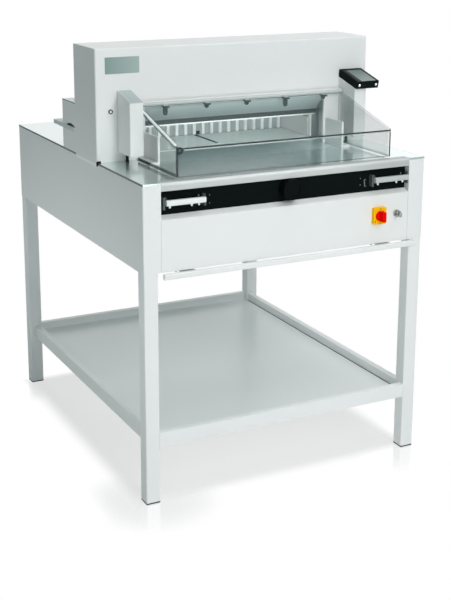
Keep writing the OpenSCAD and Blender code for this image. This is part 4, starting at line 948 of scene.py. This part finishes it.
class CUTTER_OT_fittings(Operator):
    """Studs, clips, screws, buffers, the corner seal, the switch's marks and the gauge's shoe"""

    bl_idname = "cutter.fittings"
    bl_label = "Small fittings"

    def execute(self, context):
        rubber = moulded("fitting_rubber", (0.008, 0.009, 0.009), rough=0.6, fineness=500, gloss=0.1)
        grey = moulded("fitting_grey", (0.30, 0.33, 0.33), rough=0.4, fineness=240, gloss=0.2)
        self.studs(moulded("stud_plastic", (0.85, 0.87, 0.87), rough=0.3))
        self.strip_clips(grey)
        self.strip_screws(grey)
        self.buffers(rubber)
        self.corner_seal(rubber)
        self.switch_marks(moulded("mark_brown", (0.10, 0.06, 0.008), rough=0.5))
        self.shoe(rubber)
        return {"FINISHED"}

    @staticmethod
    def studs(material):
        """Three domed studs under each start lever"""
        dome = [(0, -0.4), (3.1, -0.4), (3.1, 3.5), (2.7, 5.5), (1.6, 7), (0, 7.5)]
        for side in ("left", "right"):
            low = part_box("start_lever_" + side)[0]

            def draw(shape):
                for along in (17, 84.5, 107):
                    lathe(shape, dome, (low.x + along * MM, low.y + 7 * MM, low.z), (0, 0, -1))

            piece("lever_studs_" + side, draw, material, "lever_" + side)

    @staticmethod
    def strip_clips(material):
        """Small angle clips on the strip beside each start lever"""
        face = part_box("strip_panel")[0].y
        corners = ((-265, 899, 1, 1), (-267, 876, 1, -1), (265, 900, -1, 1), (266, 878, -1, -1))
        limbs = ((1.6, 12), (6.5, 1.6))

        def draw(shape):
            for x, z, hand, turn in corners:
                for width, height in limbs:
                    left, right = sorted((x, x - hand * width))
                    bottom, top = sorted((z, z - turn * height))
                    block(shape, (left * MM, face - 3 * MM, bottom * MM),
                          (right * MM, face + 0.5 * MM, top * MM), 0.4 * MM, steps=2)

        piece("strip_clips", draw, material, "machine")

    @staticmethod
    def strip_screws(material):
        """Screw heads on the strip, from one profile of radius one"""
        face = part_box("strip_panel")[0].y
        head = [(0, -0.5), (1, -0.5), (1, 0.5), (0.8, 0.9), (0.3, 0.9), (0.25, 0.6), (0, 0.6)]
        screws = ((-289.6, 907, 2.4), (-271.7, 905.5, 2.2), (399, 908, 2.4), (-255, 904, 1.4),
                  (-255, 881, 1.4), (252, 904, 1.4), (252, 884, 1.4))

        def draw(shape):
            for x, z, radius in screws:
                lathe(shape, head, (x * MM, face, z * MM), (0, -1, 0), scale=radius * MM)

        piece("strip_screws", draw, material, "machine")

    @staticmethod
    def buffers(material):
        """Rubber buffers between the arms and the table"""
        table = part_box("table_front")[1].z
        waist = [(0, 0), (5.6, 0), (5.6, 3), (4.6, 5), (4.6, 24), (5.6, 26), (5.6, 29), (0, 29)]

        def draw(shape):
            for side in ("left", "right"):
                low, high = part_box("arm_" + side)
                foot = ((low.x + high.x) / 2, high.y - 18.5 * MM, table)
                lathe(shape, waist, foot, (0, 0, 1), steps=20)

        piece("arm_buffers", draw, material, "machine")

    @staticmethod
    def corner_seal(material):
        """Seal round the housing's lower left front corner"""
        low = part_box("housing_cover")[0]
        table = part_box("table_front")[1].z
        outer, front, back = low.x - 1.5 * MM, low.y - 6 * MM, low.y + 0.2 * MM
        limbs = ((12 * MM, table + 0.2 * MM, table + 4.5 * MM),
                 (1.5 * MM, low.z + 2 * MM, table + 3 * MM))

        def draw(shape):
            for width, bottom, top in limbs:
                block(shape, (outer, front, bottom), (low.x + width, back, top), 0.8 * MM)

        piece("corner_seal", draw, material, "machine")

    @staticmethod
    def switch_marks(material):
        """Sunk screws and the pointer mark of the switch plate"""
        low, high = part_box("switch_plate")
        head = [(0, -0.3), (2.0, -0.3), (2.0, 0.3), (1.2, 0.5), (0, 0.5)]

        def draw(shape):
            for across, down in ((6, 42.5), (34.3, 12.5)):
                lathe(shape, head, (low.x + across * MM, low.y, high.z - down * MM), (0, -1, 0))
            block(shape, (low.x + 20.5 * MM, low.y - 0.5 * MM, high.z - 5 * MM),
                  (low.x + 26.5 * MM, low.y + 0.3 * MM, high.z - 3.2 * MM), 0.2 * MM, steps=2)

        piece("switch_marks", draw, material, "machine")

    @staticmethod
    def shoe(material):
        """Guide shoe at the foot of the backgauge"""
        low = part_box("backgauge")[0]
        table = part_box("table_rear")[1].z

        def draw(shape):
            block(shape, (4.5 * MM, low.y + 1 * MM, table + 0.6 * MM),
                  (20 * MM, low.y + 7.5 * MM, table + 11 * MM), 1 * MM)

        piece("gauge_shoe", draw, material, "gauge")


class CUTTER_PT_panel(Panel):
    """Lists the dressing steps and their settings"""

    bl_idname = "CUTTER_PT_panel"
    bl_label = "Paper cutter"
    bl_space_type = "VIEW_3D"
    bl_region_type = "UI"
    bl_category = "Paper cutter"

    def draw(self, context):
        for group in SETTINGS:
            box = self.layout.box()
            for key in SETTINGS[group].__annotations__:
                box.prop(getattr(context.scene, group), key)
        for step in STEPS:
            self.layout.operator(step.bl_idname)


SETTINGS = {
    "cutter_paint": CutterPaint,
    "cutter_metal": CutterMetal,
    "cutter_plastic": CutterPlastic,
    "cutter_studio": CutterStudio,
}
STEPS = (CUTTER_OT_studio, CUTTER_OT_sheets, CUTTER_OT_table, CUTTER_OT_works, CUTTER_OT_cover,
         CUTTER_OT_controls, CUTTER_OT_fittings)
CLASSES = (*SETTINGS.values(), *STEPS, CUTTER_PT_panel)


def register():
    """Registers the classes and gives the scene its settings."""
    for made in CLASSES:
        bpy.utils.register_class(made)
    for group, kind in SETTINGS.items():
        setattr(bpy.types.Scene, group, PointerProperty(type=kind))


def unregister():
    """Takes the settings and the classes away again."""
    for group in SETTINGS:
        delattr(bpy.types.Scene, group)
    for made in reversed(CLASSES):
        bpy.utils.unregister_class(made)


def main():
    register()
    for step in STEPS:
        family, name = step.bl_idname.split(".")
        getattr(getattr(bpy.ops, family), name)()


if __name__ == "__main__":
    main()
